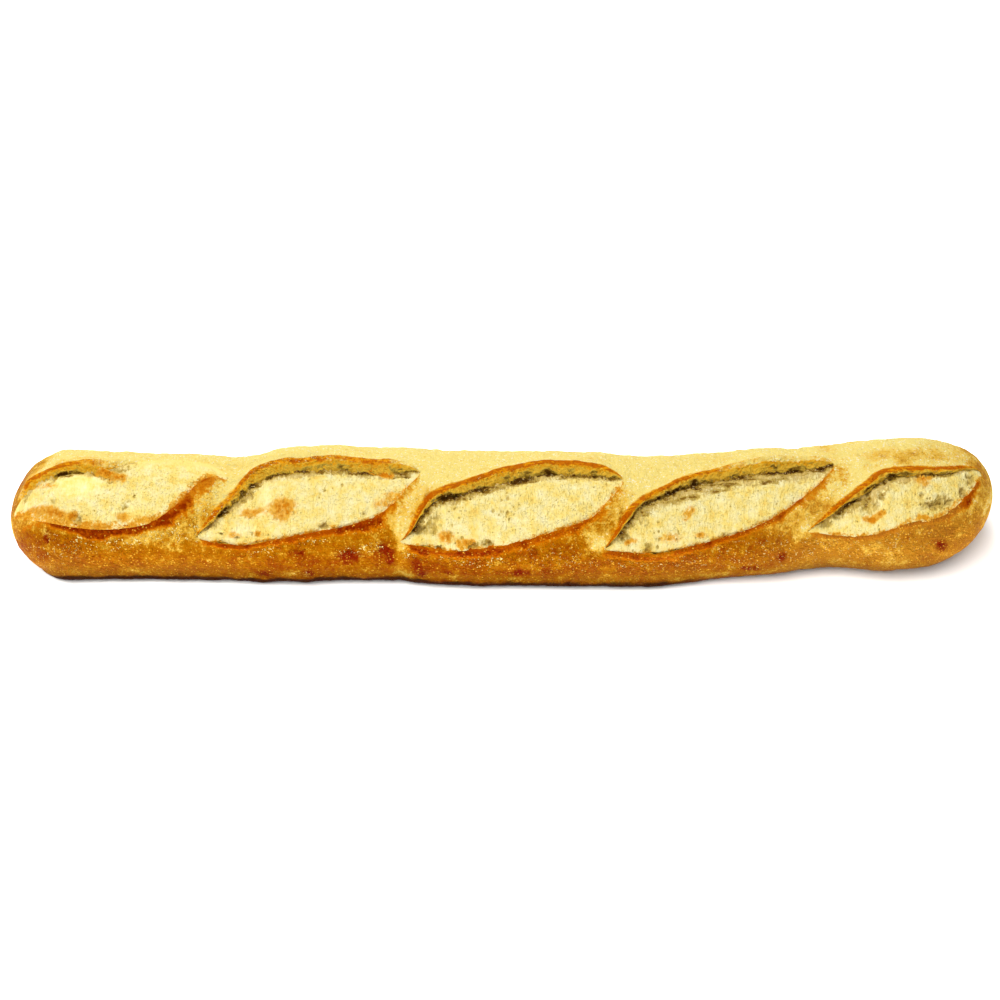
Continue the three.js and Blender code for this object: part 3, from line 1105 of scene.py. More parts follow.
    def browning(self, x: Array, girth: Array) -> Marks:
        """How dark the oven baked the crust from place to place.

        Args:
            x: Places along.
            girth: Distances round.

        Returns:
            Browning, dark spots, frosting, share of painted glints, scorched base edge with painted contact
            shade, creases and painted shade low on the sides, from 0 to 1.
        """
        down = np.abs(girth)
        sides = self.near_side(girth) + self.low_side(girth) + self.far_side(girth)
        brown = sides + summed(BROWNED, x, girth) + self.blotches(x, girth)
        scorched_and_contact_shaded = self.scorched_and_contact_shaded(down + self.scorch_edge(x, girth))
        marks = {
            "browning": mix(brown, self.underside_brown, self.underside(down)),
            "spot": summed(DARK_SPOTS, x, girth) * (self.spot_share + self.spotted(x, girth)),
            "frost": self.frosted_right(x) + summed(FROSTED, x, girth),
            "painted_glint_share": summed(PAINTED_GLINT_PLACES, x, girth),
            # Scorched base edge with painted contact shade, faded where the loaf lifts.
            "base": scorched_and_contact_shaded * (1 - self.scorch_ends(x)),
            "crease": summed(CREASES, x, girth),
            "painted_low_shade": self.painted_low_shade(down),
        }
        return {key: unit(mark) for key, mark in marks.items()}

    def unwrap(self, x: Array, girth: Array) -> Array:
        """Lay the crust out in four long strips.

        Args:
            x: Place along of every vertex.
            girth: Girth of every vertex.

        Returns:
            Flat coordinates of every vertex.
        """
        half = self.body.length / 2
        right = x > 0
        u = np.where(right, x, x + half) / half
        front = (girth + self.body.girth) / (self.strip_girth + self.body.girth)
        back = (girth - self.strip_girth) / (self.body.girth - self.strip_girth)
        front_step = self.front_strip + self.strip_gap
        back_step = self.back_strip + self.strip_gap
        v_front = self.front_strip * front + np.where(right, front_step, 0.0)
        v_back = 2 * front_step + self.back_strip * back + np.where(right, back_step, 0.0)
        flat = np.stack([u, np.where(girth < self.strip_girth, v_front, v_back)], -1)
        return self.inset + (1 - 2 * self.inset) * flat

    @staticmethod
    def faces(columns: int, rows: int) -> tuple[Array, Array]:
        """Join the rings into a tube and close it with a fan at each tip.

        Args:
            columns: Number of rings.
            rows: Number of points on each.

        Returns:
            Faces of four corners and faces of three.
        """
        index = np.arange(columns * rows).reshape(columns, rows)
        onward = np.roll(index, -1, 1)
        quads = np.stack([index[:-1], onward[:-1], onward[1:], index[1:]], -1).reshape(-1, 4)
        left_tip = np.full(rows, columns * rows)
        left_fan = np.stack([left_tip, onward[0], index[0]], -1)
        right_fan = np.stack([left_tip + 1, index[-1], onward[-1]], -1)
        return quads, np.concatenate([left_fan, right_fan])

    def heights(self, x: Array, girth: Array) -> tuple[Array, Marks]:
        """Full height of the crust, with its lumps, blisters and torn grain.

        Args:
            x: Places along.
            girth: Distances round.

        Returns:
            Heights, and all that varies over the crust for its finish.
        """
        height, marks = self.rise(x, girth)
        toe = self.toe * bell((np.abs(girth) - self.toe_girth) / self.toe_width) * (1 - self.toe_ends(x))
        uneven = (self.lumps(x, girth) + self.blisters(x, girth)) * (1 + self.rougher_back(girth))
        uneven = uneven * (1 - self.flat_base(np.abs(girth)))
        pores = self.wall_pores(x, girth)
        pitted = self.tears(x, girth) - self.wall_pores.depth * pores
        grit = marks["edge"] * self.edge_grit(x, girth)
        height = height + self.body.swelling(x, girth) + toe + uneven + grit + marks["torn"] * pitted
        marks["pores"] = marks["torn"] * pores
        marks.update(self.browning(x, girth))
        return height, marks

    def shell(self) -> Shell:
        """Work out the crust's points, faces and varying values.

        Returns:
            The closed shell.
        """
        places = self.places()
        girth = self.girths(places)
        x = np.broadcast_to(places[:, None], girth.shape)
        height, marks = self.heights(x, girth)
        outward = self.body.outward(x, girth) * (height * self.body.ease_at(x))[..., None]
        points = self.body.point(x, girth) + outward
        points[..., 2] = np.maximum(points[..., 2], 0.0)
        ends = np.array([-self.body.length / 2, self.body.length / 2])
        quads, triangles = self.faces(*girth.shape)
        all_x = np.concatenate([x.ravel(), ends])
        all_girth = np.concatenate([girth.ravel(), [0.0, 0.0]])
        return Shell(
            points=np.concatenate([points.reshape(-1, 3), [self.tip(end) for end in ends]]),
            quads=quads,
            triangles=triangles,
            values={k: np.concatenate([v.ravel(), [v[0].mean(), v[-1].mean()]]) for k, v in marks.items()},
            unwrapped=self.unwrap(all_x, all_girth),
        )

    def tip(self, x: float) -> Array:
        """Return the point at a tip of the loaf."""
        b = self.body
        return np.array([x, float(b.wander_at(x)), float(b.curl_at(x) + b.tip_at(x))])


# Places where the oven browned the crust more, or less, than its height alone explains.
BROWNED = patches(
    (-246, 4, 9, 40, 0.52), (-237, 16, 8, 13, 0.45), (-234, -40, 16, 16, 0.22), (-205, -46, 20, 10, 0.1),
    (-175, -36, 22, 6, -0.22), (-150, -44, 10, 5, -0.12), (-149, -11, 7, 8, 0.14), (-139, -14, 5, 5, 0.08),
    (-152, -26, 12, 8, 0.18), (-120, -47, 8, 5, -0.14), (-105, -46, 14, 8, 0.06), (-50, -50, 3, 16, -0.26),
    (-48, -34, 5, 8, -0.55), (-52, -20, 6, 8, 0.12), (-36, -18, 5, 6, 0.25), (-20, -47, 20, 5, 0.08),
    (30, -46, 26, 10, 0.14), (50, -22, 8, 6, 0.22), (60, -12, 9, 8, 0.1), (60, -24, 4, 3, 0.28),
    (50, -38, 7, 5, -0.6), (-149, -34, 7, 4.5, -0.4), (153, -35, 7, 5, -0.35), (85, -52, 25, 8, 0.1),
    (156, -24, 6, 5, 0.25), (160, -15, 12, 9, 0.12), (150, -34, 8, 6, -0.02), (165, -48, 16, 8, -0.16),
    (190, -50, 16, 8, -0.26), (222, -42, 14, 16, 0.12), (196, 5, 14, 5, 0.22), (214, 5, 14, 6, 0.14),
    (203, 0, 5, 3, 0.22), (228, 14, 14, 18, 0.14), (243, -6, 8, 34, 0.42), (125, -47, 55, 12, 0.14),
    (-170, -54, 45, 6, 0.07), (166, 22, 5, 12, 0.22), (178, 26, 6, 8, 0.1), (-60, -61, 180, 3.5, -0.16),
    (90, -60, 60, 4, -0.14), (180, -59, 40, 5, -0.16), (-20, 30, 30, 8, -0.05), (-170, 62, 30, 12, 0.14),
    (-60, 55, 26, 10, 0.16), (40, 60, 30, 12, 0.12), (120, 56, 22, 10, -0.1), (-46, -14, 8, 14, 0.12),
    (58, -14, 9, 12, 0.14), (162, -12, 10, 10, 0.12),
) + streaks(
    (172, 1, 173, -12, 3, 0.14), (-224, 8, -206, 13, 2.6, 0.2),
)
DARK_SPOTS = patches(
    (-226, -36, 3.2, 5, 0.75), (-216, -36, 6, 3, 0.3), (-240, -32, 4, 8, 0.35), (-232, -46, 10, 4, 0.35),
    (-240, 16, 3.5, 9, 0.3), (-150, -52, 7, 3.5, 0.35), (-168, -52, 8, 3, 0.28), (-196, -58, 6, 3, 0.25),
    (-119, -61, 5, 4, 0.5), (-98, -45, 4.5, 4, 0.62), (-107, -49, 3, 5, 0.35), (-97, -60, 4.5, 6, 0.72),
    (-76, -49, 5.5, 6, 0.8), (-82, -46, 3, 3, 0.3), (-66, -48, 8, 3.5, 0.35), (-57, -44, 4.2, 6.5, 1.0),
    (-55, -53, 3, 4, 0.55), (-41, -51, 3.8, 6, 0.9), (-40, -60, 4, 4, 0.6), (-35.5, -18, 3, 5.5, 0.7),
    (-26, -56, 3.5, 3.5, 0.6), (10, -56, 6, 3.2, 0.85), (2, -57, 5, 2.6, 0.45), (16, -41, 3.5, 5, 0.55),
    (22, -55, 6, 2.6, 0.4), (43, -37, 3.5, 3, 0.4), (38, -55, 9, 2.6, 0.35), (60, -24, 4, 3, 0.42),
    (30, -42, 6, 3, 0.3), (72, -55, 8, 4, 0.35), (86, -50, 4, 3, 0.3), (100, -57, 6, 3, 0.35),
    (110, -43, 3, 5, 0.38), (125, -43, 4, 3, 0.45), (131, -38, 3, 3, 0.45), (141, -50, 3.4, 4, 0.72),
    (126, -57, 6, 3, 0.72), (136, -55, 4, 2.5, 0.35), (146, -38, 2.5, 5, 0.25), (184, -60, 3, 3, 0.55),
    (193, 5, 3, 3, 0.35), (208, 6, 3, 3, 0.35), (203, -42, 4, 3, 0.42), (217, -45, 4, 3.5, 0.42),
    (221, -48, 2.8, 3.4, 0.8), (212, -50, 3, 3, 0.3), (232, -30, 5, 6, 0.28), (60, 66, 10, 4, 0.45),
    (-30, 62, 7, 4, 0.55), (-120, 64, 9, 4, 0.5), (-205, 58, 7, 5, 0.45), (150, 60, 6, 4, 0.5),
    (205, 52, 7, 5, 0.4), (-74, 70, 6, 4, 0.6),
)
# Dark lines where the crust folds in along the lower side of a slash: deeper browning, darkened further as
# painted shade under the crumb's ledge.
CREASES = streaks(
    (-240, -26, -224, -29, 1.2, 0.35), (-222, -30.2, -205, -33.7, 2, 1.49),
    (-206, -34.7, -199, -35.2, 2.7, 1.5), (-199, -34.2, -183, -32.2, 2.5, 1.42),
    (-183, -31.7, -166, -27.2, 2.9, 1.5), (-166, -25.5, -157, -19.5, 2.8, 1.15),
    (-157, -18, -151, -10, 2, 0.8), (-151, -10, -146.5, -1.5, 2, 0.5), (-153, -15, -146, -6, 5, 0.24),
    (-148, -39, -138, -40, 1.8, 0.55), (-138, -40, -126, -41, 2.2, 0.6),
    (-126, -39.5, -104, -38.5, 1.8, 0.5), (-104, -37.5, -80, -34, 1.8, 0.62),
    (-80, -33.5, -66, -31, 2.4, 1), (-68, -31, -60, -29, 3, 1.15), (-60, -26, -54, -20, 2.4, 0.3),
    (-44, -42, -38, -43.5, 2.4, 1), (-38, -43.5, -20, -44.5, 1.8, 0.78), (-20, -43.5, -2, -42.5, 2.4, 1.15),
    (-2, -41.5, 12, -38.5, 2.2, 0.8), (12, -38, 38, -30, 2.4, 0.6), (38, -29, 50, -21, 2.4, 0.42),
    (53, -42.5, 68, -43.5, 1.8, 0.82), (68, -45, 88, -46, 1.5, 0.85), (88, -43, 104, -39, 2, 0.62),
    (104, -38, 122, -33, 2.2, 0.62), (122, -31.5, 140, -27, 2.2, 0.7), (140, -26, 150, -19, 2, 0.36),
    (170, 0, 173, -9, 3, 0.26), (150, -18, 162, -8, 2.2, 0.26), (155, -38.5, 178, -40.5, 1.4, 0.62),
    (178, -41, 190, -39.5, 1.6, 0.62), (190, -38, 203, -35, 1.6, 0.5), (203, -34.5, 222, -31, 1.9, 0.9),
    (222, -30, 233, -22, 1.9, 0.85), (233, -21, 239, -10, 1.8, 0.75),
)
FROSTED = patches(
    (-228, -55, 22, 14, 0.5), (-190, -60, 40, 8, 0.4), (-150, -58, 30, 10, 0.3), (90, -56, 60, 12, 0.4),
    (-105, 13, 34, 6, 0.9), (-150, 12, 30, 10, 0.4), (-240, 5, 12, 25, 0.5), (-40, 5, 10, 20, 0.3),
)
# Places where painted glints, bright highlights on blisters, gather; the blisters rise more there too.
PAINTED_GLINT_PLACES = patches(
    (-143, -14, 6, 12, 0.85), (-118, -44, 8, 4, 0.6), (30, -46, 30, 12, 0.22), (66, -47, 5, 3, 0.8),
    (80, -49, 12, 5, 0.25), (-228, -45, 20, 16, 0.22), (120, -48, 40, 14, 0.18), (180, -46, 50, 20, 0.2),
    (-110, 12, 26, 3, 0.8), (-95, 8, 14, 2, 0.8),
) + streaks(
    (-122, 3, -109.6, 6.5, 1.6, 0.9), (-109.6, 6.5, -89, 8.5, 1.6, 1), (-192, -35, -154, -32, 5, 1.1),
    (-215, -40, -190, -38, 5, 0.5), (-102, -39, -87, -39.5, 1.4, 1), (-78, -45, -60, -42, 2, 0.9),
    (-75, -33, -60, -31, 2, 0.7), (-138, -4, -112, 5.5, 1.2, 0.75), (-112, 5.5, -88, 7, 1.2, 0.85),
    (-36, -22, -10, -4, 1.2, 0.75), (-10, -4, 18, 5, 1.1, 0.45), (-46, -47, -36, -45, 2.5, 0.8),
    (-30, -45, 0, -46, 2.4, 0.6), (-20, -50, -4, -52, 2.4, 0.6),
)
TOASTED = patches(
    (-188, -26, 3, 2.2, 0.62), (-179, -27, 3, 1.8, 0.45), (-108.5, -22, 5.4, 5, 0.9),
    (-124, -22.5, 5.4, 2.4, 0.72), (-121, -34, 2, 1.5, 0.7), (-133, -34, 4, 2, 0.3),
    (-27, -35, 3.2, 2.6, 0.85), (92, -24.5, 1.5, 1.2, 0.5), (85, -34, 5, 2.5, 0.38),
    (100, -34, 3, 1.6, 0.42), (211, -12, 3, 4, 0.45), (208, -31, 3, 1.6, 0.4),
) + streaks(
    (-236, -20, -224, -23, 3, 0.52), (-224, -23, -214, -27, 2.2, 0.62), (-214, -26, -212, -24, 1.4, 0.55),
    (-202, 4, -190.5, -1.5, 2.4, 0.85), (-236, -4, -224, -8, 1.8, 0.35), (-66, 3, -56, -2, 2.2, 1.3),
    (-60, -20, -52, -14, 3, 0.35), (-20, -38, -14, -37.5, 1.8, 0.75), (93, -22, 95, -20, 2, 0.52),
    (63, -36.5, 67, -35, 1.2, 0.7), (181.5, -31, 185, -31.8, 1.4, 0.55), (185, -31.8, 190, -28, 1.6, 0.62),
    (209, -10, 215, -9.5, 1.6, 0.35),
)
BUBBLES = patches(
    (-210.5, -27.5, 2.6, 2.8, 2.2), (-223, -17.5, 3, 2.6, 1), (-186.5, -17.5, 2.6, 4.6, 0.8),
    (-186.5, -20.5, 1.2, 1, 0.9), (-157.5, 13.3, 2, 1.4, 0.9), (-164, 17, 1.2, 1.6, 0.8),
    (-171, 2.2, 1.2, 1.2, 0.9), (-189, -3.6, 1.2, 1.8, 0.9), (-181, -5, 1, 1.6, 0.7),
    (-213.5, -5.5, 11, 9.5, 1.9, 3), (-141, -26, 4, 5, 1, 1.6), (-133, -19, 3, 5, 0.9, 1.6),
    (-127, -13, 3, 4, 0.9, 1.6), (-41, -32, 4.5, 3, 1, 1.6), (-32, -24, 4, 3.5, 1.1, 1.6),
    (-23, -18, 3.5, 3.5, 0.9, 1.6), (-34, -31, 3.5, 5, 1.4, 1.8), (62, -34, 4, 3, 1.5, 1.6),
    (72, -26, 4, 4, 0.9, 1.6), (162, -33, 4, 2.6, 1.8, 1.6), (169, -29, 2.6, 2.4, 1.7),
    (-87.5, -31.5, 2.4, 1.9, 2), (-67.5, -25.5, 1.6, 1.4, 1), (-75, -27.5, 1.4, 1.2, 0.8),
    (-73, -9.2, 1.4, 1.2, 0.7), (-13.5, -39, 2.6, 2.2, 1.9), (-146.5, -29.5, 3.6, 2.6, 1.9),
    (-139.5, -33.5, 1.4, 1.2, 1.5), (-131, -35.5, 1.6, 1.2, 1.4), (-124, -33, 1.2, 1, 1.4),
    (-6, -38, 3.6, 2.2, 1.9), (-30, -41, 2.6, 1.8, 1.8), (74, -39.5, 2.6, 3.4, 1.6),
    (105.5, -33.5, 1.8, 2.2, -0.5), (112, -34.5, 2, 1.2, 0.8), (-47, -1.8, 2.4, 1.3, 2.8),
    (183.8, -24, 4.2, 5.6, 2.8, 1.2), (190, -19.5, 2, 1.8, 1.6), (216, -25.5, 6, 2.6, 2.5),
    (222, -22, 5, 3, 1.8), (210, -20, 1.4, 1.2, 1.6), (236, -9, 2.4, 4, 2.4), (231.5, -17, 2.2, 3, 2.2),
) + streaks(
    (-160, 6, -154, 4, 1.6, 0.6), (-196, -3.2, -193, -4.5, 1.4, 1.2), (-225.5, -5, -223, 1.5, 0.9, 1.8),
    (-203, 6, -192, -2, 1.8, -1.1), (-206, 3, -196, -4.5, 0.8, 0.9), (-42, -33, -38, -31.5, 1.8, 1.3),
)
# Places where the crumb skinned over smooth before it set.
SKINNED = patches(
    (-213, -5.5, 13, 10, 1.1, 2), (-140, 14, 60, 9, 0.7), (-183.5, -23, 3, 5, 0.3), (183.5, -23, 3, 6, 0.8),
    (-117, -14, 3, 8, 0.5),
)


@dataclass(frozen=True)
class Crumb:
    """The torn crumb that fills one slash: a pillow with threads, pores and burst bubbles."""

    body: Body
    slash: Slash
    # Points of the torn face.
    along: int = 400
    across: int = 120
    ends: Span = (0.004, 0.996)
    crowded: float = 0.35
    over_crust: float = 2.4
    under_ear: float = 0.45
    under_lip: float = 1.8
    tip_margin: float = 0.4
    thickness: float = 11.0
    # Pillow, from the gap under the ear to the lip.
    ragged: Relief = Relief(0, 1.3, 2.2, 9.0, 3)
    pockets: Relief = Relief(0, 0.75, 3.1, 4.0, 2, 9.0)
    frayed: Relief = Relief(7, 0.9, 2.8, 4.0, 3)
    pocket_share: float = 0.85
    climb_bend: float = 0.65
    plain_lift: float = 0.9
    lip_level: float = -1.2
    ledge_rise: float = 2.0
    ledge_swell: float = 0.5
    ledge_ends: Fade = Fade(2.0, 7.0)
    settled: Fade = Fade(-0.4, 2.4)
    falls_from: Span = (-0.4, -0.9)
    falls_by: Span = (1.6, 5.0)
    tucked: float = 1.5
    tuck: float = 0.35
    # Threads, pores and lumps.
    skin_cover: float = 0.85
    lean: float = 0.12
    threads: Relief = Relief(0, 0.8, 1.05, 7.5, 3)
    fibre_along: float = 0.8
    fibre_around: float = 9.0
    fibre: float = 0.35
    thread_share: Span = (0.2, 0.95)
    open_grain: Fade = Fade(-0.1, 0.5)
    grain_patches: Relief = Relief(6, 1.0, 9.0, 7.0, 2)
    opener_near_ear: float = 0.35
    cells: Pores = Pores(0, 0.8, 2.6, 4.0, 0.26, 0.18, 0.5)
    pores: Pores = Pores(1, 0.5, 2.2, 2.6, 0.12, 0.16, 0.32)
    lumps: Relief = Relief(2, 0.55, 6.0, 8.0, 3)
    crumbs: Relief = Relief(3, 0.2, 0.9, 1.1, 2)
    burst: Relief = Relief(4, 0.8, 1.3, 1.7, 2)
    skinned_lumps: float = 0.5
    calm: Fade = Fade(-1.4, 1.0)
    calm_share: float = 0.2
    # Marks for the finish, among them painted shade in the hollows, in the depths and by the gap.
    sunken_cells: float = 1.2
    sunken_pores: float = 1.3
    sunken_bubbles: float = 0.46
    sunken_threads: float = 0.34
    toast_share: float = 0.8
    toast_edge: Relief = Relief(41, 0.9, 1.6, 2.0, 3)
    low: Fade = Fade(1.4, 5.0, 0.8)
    gap_depth: Fade = Fade(0.6, 2.2)
    gap_shadow: float = 0.72
    lip_glow_from: float = 0.8
    least_shade_reach: float = 1.5
    shade_reach_depth: float = 2.0
    least_gap_shade: float = 0.45
    flushed: Fade = Fade(0.0, 9.0)
    # Flat layout of face, skirt and bottom.
    face_size: Span = (0.99, 0.93)
    face_corner: Span = (0.005, 0.065)
    skirt_level: float = 0.02
    bottom_place: Span = (0.5, 0.01)

    @property
    def seed(self) -> int:
        """Seed of this slash's own grain."""
        return sum(ord(letter) for letter in self.slash.name)

    def level(self, x: Array, girth: Array, spot: Spot) -> tuple[Array, Array]:
        """Height of the pillow without its grain.

        Args:
            x: Places along.
            girth: Distances round.
            spot: Where those points lie within the slash.

        Returns:
            Heights over the uncut loaf, and how near the gap under the ear each point is.
        """
        s = self.slash.sizes
        stand = self.slash.stand(spot.t)
        deep = spot.depth * (self.pocket_share + self.pockets(x, girth, self.seed))
        inward = spot.under_ear - spot.wall_end + self.ragged(x, girth, self.seed)
        climb = smooth(-s.crumb_before, s.crumb_climb, inward)
        bent = climb**self.climb_bend
        with_ear = mix(-deep - s.crumb_drop, -s.crumb_drop, bent)
        without = -s.crumb_drop + self.plain_lift * (1 - stand) - deep * (1 - bent)
        level = mix(without, with_ear, stand)
        ledge = self.slash.along(self.slash.ledges, spot.t)
        raised = level + self.ledge_swell * ledge * (1 - self.ledge_ends(spot.over_lip))
        settled = self.settled(spot.over_lip + self.frayed(x, girth, self.seed))
        level = mix(self.lip_level + self.ledge_rise * ledge, raised, settled)
        outer = mix(*self.falls_from, ledge)
        falling = mix(*self.falls_by, ledge) * (spot.over_lip - outer)
        level = np.where(spot.over_lip < outer, level + falling, level)
        tucked = self.tuck * (spot.under_ear - self.tucked) * (1 - stand)
        return level + np.where(spot.under_ear < self.tucked, tucked, 0.0), (1 - climb) * stand

    def height(self, x: Array, girth: Array, spot: Spot) -> tuple[Array, Array]:
        """Height of the crumb over the uncut loaf.

        Args:
            x: Places along.
            girth: Distances round.
            spot: Where those points lie within the slash.

        Returns:
            Heights, and how sunken each point is for its finish, from 0 to 1.
        """
        seed = self.seed
        plain = 1 - self.skin_cover * unit(summed(SKINNED, x, girth))
        level, near_ear = self.level(x, girth, spot)
        along = x + self.lean * girth
        fibres = np.abs(Grain(seed + 5).cloud(along / self.fibre_along, girth / self.fibre_around))
        threads = self.threads(along, girth, seed) + (1.0 - fibres * 2.0) * self.fibre
        threads = threads * mix(*self.thread_share, near_ear)
        where = self.open_grain(self.grain_patches(x, girth, seed) + self.opener_near_ear * near_ear)
        cells = -self.cells.depth * where * self.cells(x, girth, seed)
        pores = -self.pores.depth * self.pores(x, girth, seed)
        crumbs = self.crumbs(x, girth, seed)
        lumps = self.lumps(x, girth, seed) * mix(self.skinned_lumps, 1.0, plain)
        burst = 1 + self.burst(x, girth, seed)
        bubbles = -summed(BUBBLES, x, girth) * mix(burst, 1.0, 1 - plain)
        detail = (threads + cells + pores + crumbs) * plain + lumps + bubbles
        hollows = (cells * self.sunken_cells + pores * self.sunken_pores) * plain
        hollows = hollows + bubbles * self.sunken_bubbles + threads * self.sunken_threads
        calm = self.calm(spot.over_lip)
        height = spot.opening * (level + detail * mix(self.calm_share, 1.0, calm))
        return height, unit(-hollows) * calm

    def marks(
        self, x: Array, girth: Array, spot: Spot, height: Array, sunken: Array
    ) -> Marks:
        """What varies over the crumb for its finish.

        Args:
            x: Places along.
            girth: Distances round.
            spot: Where those points lie within the slash.
            height: Heights of the crumb over the uncut loaf.
            sunken: How sunken each point is.

        Returns:
            Toast, painted shade in the hollows and depths, glow by the lip, painted shade by the gap, flush
            and skin, from 0 to 1.
        """
        stand = self.slash.stand(spot.t)
        inward = spot.under_ear - spot.wall_end
        toast = summed(TOASTED, x, girth) * (self.toast_share + self.toast_edge(x, girth))
        shadowed = unit(1.2 - inward / (0.3 + spot.depth)) * self.gap_depth(spot.depth)
        reach = self.least_shade_reach + self.slash.shade_reach * np.minimum(spot.depth / self.shade_reach_depth, 1.0)
        shade_by_gap = (1 - unit(inward / reach)) * stand
        by_lip = np.maximum(spot.over_lip - self.lip_glow_from, 0) / self.slash.gilt
        return {
            "toast": unit(toast),
            "sunken": sunken,
            # Painted shade: darker the lower the crumb lies, and where the ear shades it.
            "deep": np.maximum(self.low(-height), self.gap_shadow * shadowed * stand),
            "lipward": self.slash.gilding * bell(by_lip),
            "shade_by_gap": shade_by_gap * mix(self.least_gap_shade, 1.0, self.slash.olive_shade),
            "flush": (1 - self.flushed(spot.under_ear)) * (1 - stand),
            "skinned": unit(summed(SKINNED, x, girth)),
        }

    def spread(self) -> tuple[Array, Array, Array]:
        """Spread the points of the torn face over the slash.

        Returns:
            Places along the loaf, girths, and flat coordinates.
        """
        slash = self.slash
        u = np.linspace(*self.ends, self.along)[:, None]
        t = mix(u, 0.5 - 0.5 * np.cos(math.pi * u), self.crowded)
        f = np.linspace(0.0, 1.0, self.across)[None, :]
        up = slash.rim(slash.upper, t)
        down = -slash.rim(slash.lower, t)
        size = np.clip((up - down) / slash.sizes.full, slash.sizes.least_open, 1)
        beyond = mix(self.over_crust, -self.under_ear * slash.wall_end(t), slash.stand(t))
        across = mix(down - self.under_lip * size, up + beyond * size, f)
        x, girth = slash.place(np.broadcast_to(t, across.shape), across)
        limit = self.body.length / 2 - self.tip_margin
        flat = np.stack([np.broadcast_to(u, across.shape), np.broadcast_to(f, across.shape)], -1)
        return np.clip(x, -limit, limit), girth, flat

    def shell(self) -> Shell:
        """Work out the crumb's points, faces and varying values.

        Returns:
            The closed shell: the torn face, and a plain back sunk in the loaf.
        """
        x, girth, flat = self.spread()
        spot = self.slash.locate(x, girth)
        height, sunken = self.height(x, girth, spot)
        out = self.body.outward(x, girth)
        base = self.body.point(x, girth)
        ease = self.body.ease_at(x)
        top = base + out * (height * ease)[..., None]
        index = np.arange(x.size).reshape(x.shape)
        quads = np.stack([index[:-1, :-1], index[1:, :-1], index[1:, 1:], index[:-1, 1:]], -1)
        rim = np.concatenate([index[:, 0], index[-1, 1:], index[-2::-1, -1], index[0, -2:0:-1]])
        depth = self.thickness * np.clip(spot.opening, 0.25, 1) * np.clip(ease, 0.2, 1)
        deep = (base - out * depth[..., None]).reshape(-1, 3)[rim]
        lower = x.size + np.arange(len(rim))
        onward = np.roll(lower, -1)
        skirt = np.stack([rim, lower, onward, np.roll(rim, -1)], -1)
        fan = np.stack([lower, np.full(len(rim), x.size + len(rim)), onward], -1)
        marks = self.marks(x, girth, spot, height, sunken)
        rings = {key: mark.reshape(-1)[rim] for key, mark in marks.items()}
        face = (flat * self.face_size + self.face_corner).reshape(-1, 2)
        around = self.face_corner[0] + self.face_size[0] * np.linspace(0.0, 1.0, len(rim))
        band = np.stack([around, np.full(len(rim), self.skirt_level)], -1)
        return Shell(
            points=np.concatenate([top.reshape(-1, 3), deep, [deep.mean(0)]]),
            quads=np.concatenate([quads.reshape(-1, 4), skirt]),
            triangles=fan,
            values={k: np.concatenate([v.ravel(), rings[k], [rings[k].mean()]]) for k, v in marks.items()},
            unwrapped=np.concatenate([face, band, [self.bottom_place]]),
        )


# ---- shader nodes
class Feature(Enum):
    """What a cell texture measures."""

    NEAREST = "F1"
    SMOOTH = "SMOOTH_F1"


@dataclass(frozen=True)
class Noise:
    """Soft noise in a finish: size of its features in mm, finer layers, and scale along each axis."""

    size: float
    detail: float = 2.0
    rough: float = 0.5
    stretch: Point | None = None


@dataclass(frozen=True)
class Layer:
    """One colour laid on from nothing at low to its cover at high."""

    colour: Colour
    low: float
    high: float
    cover: float = 1.0


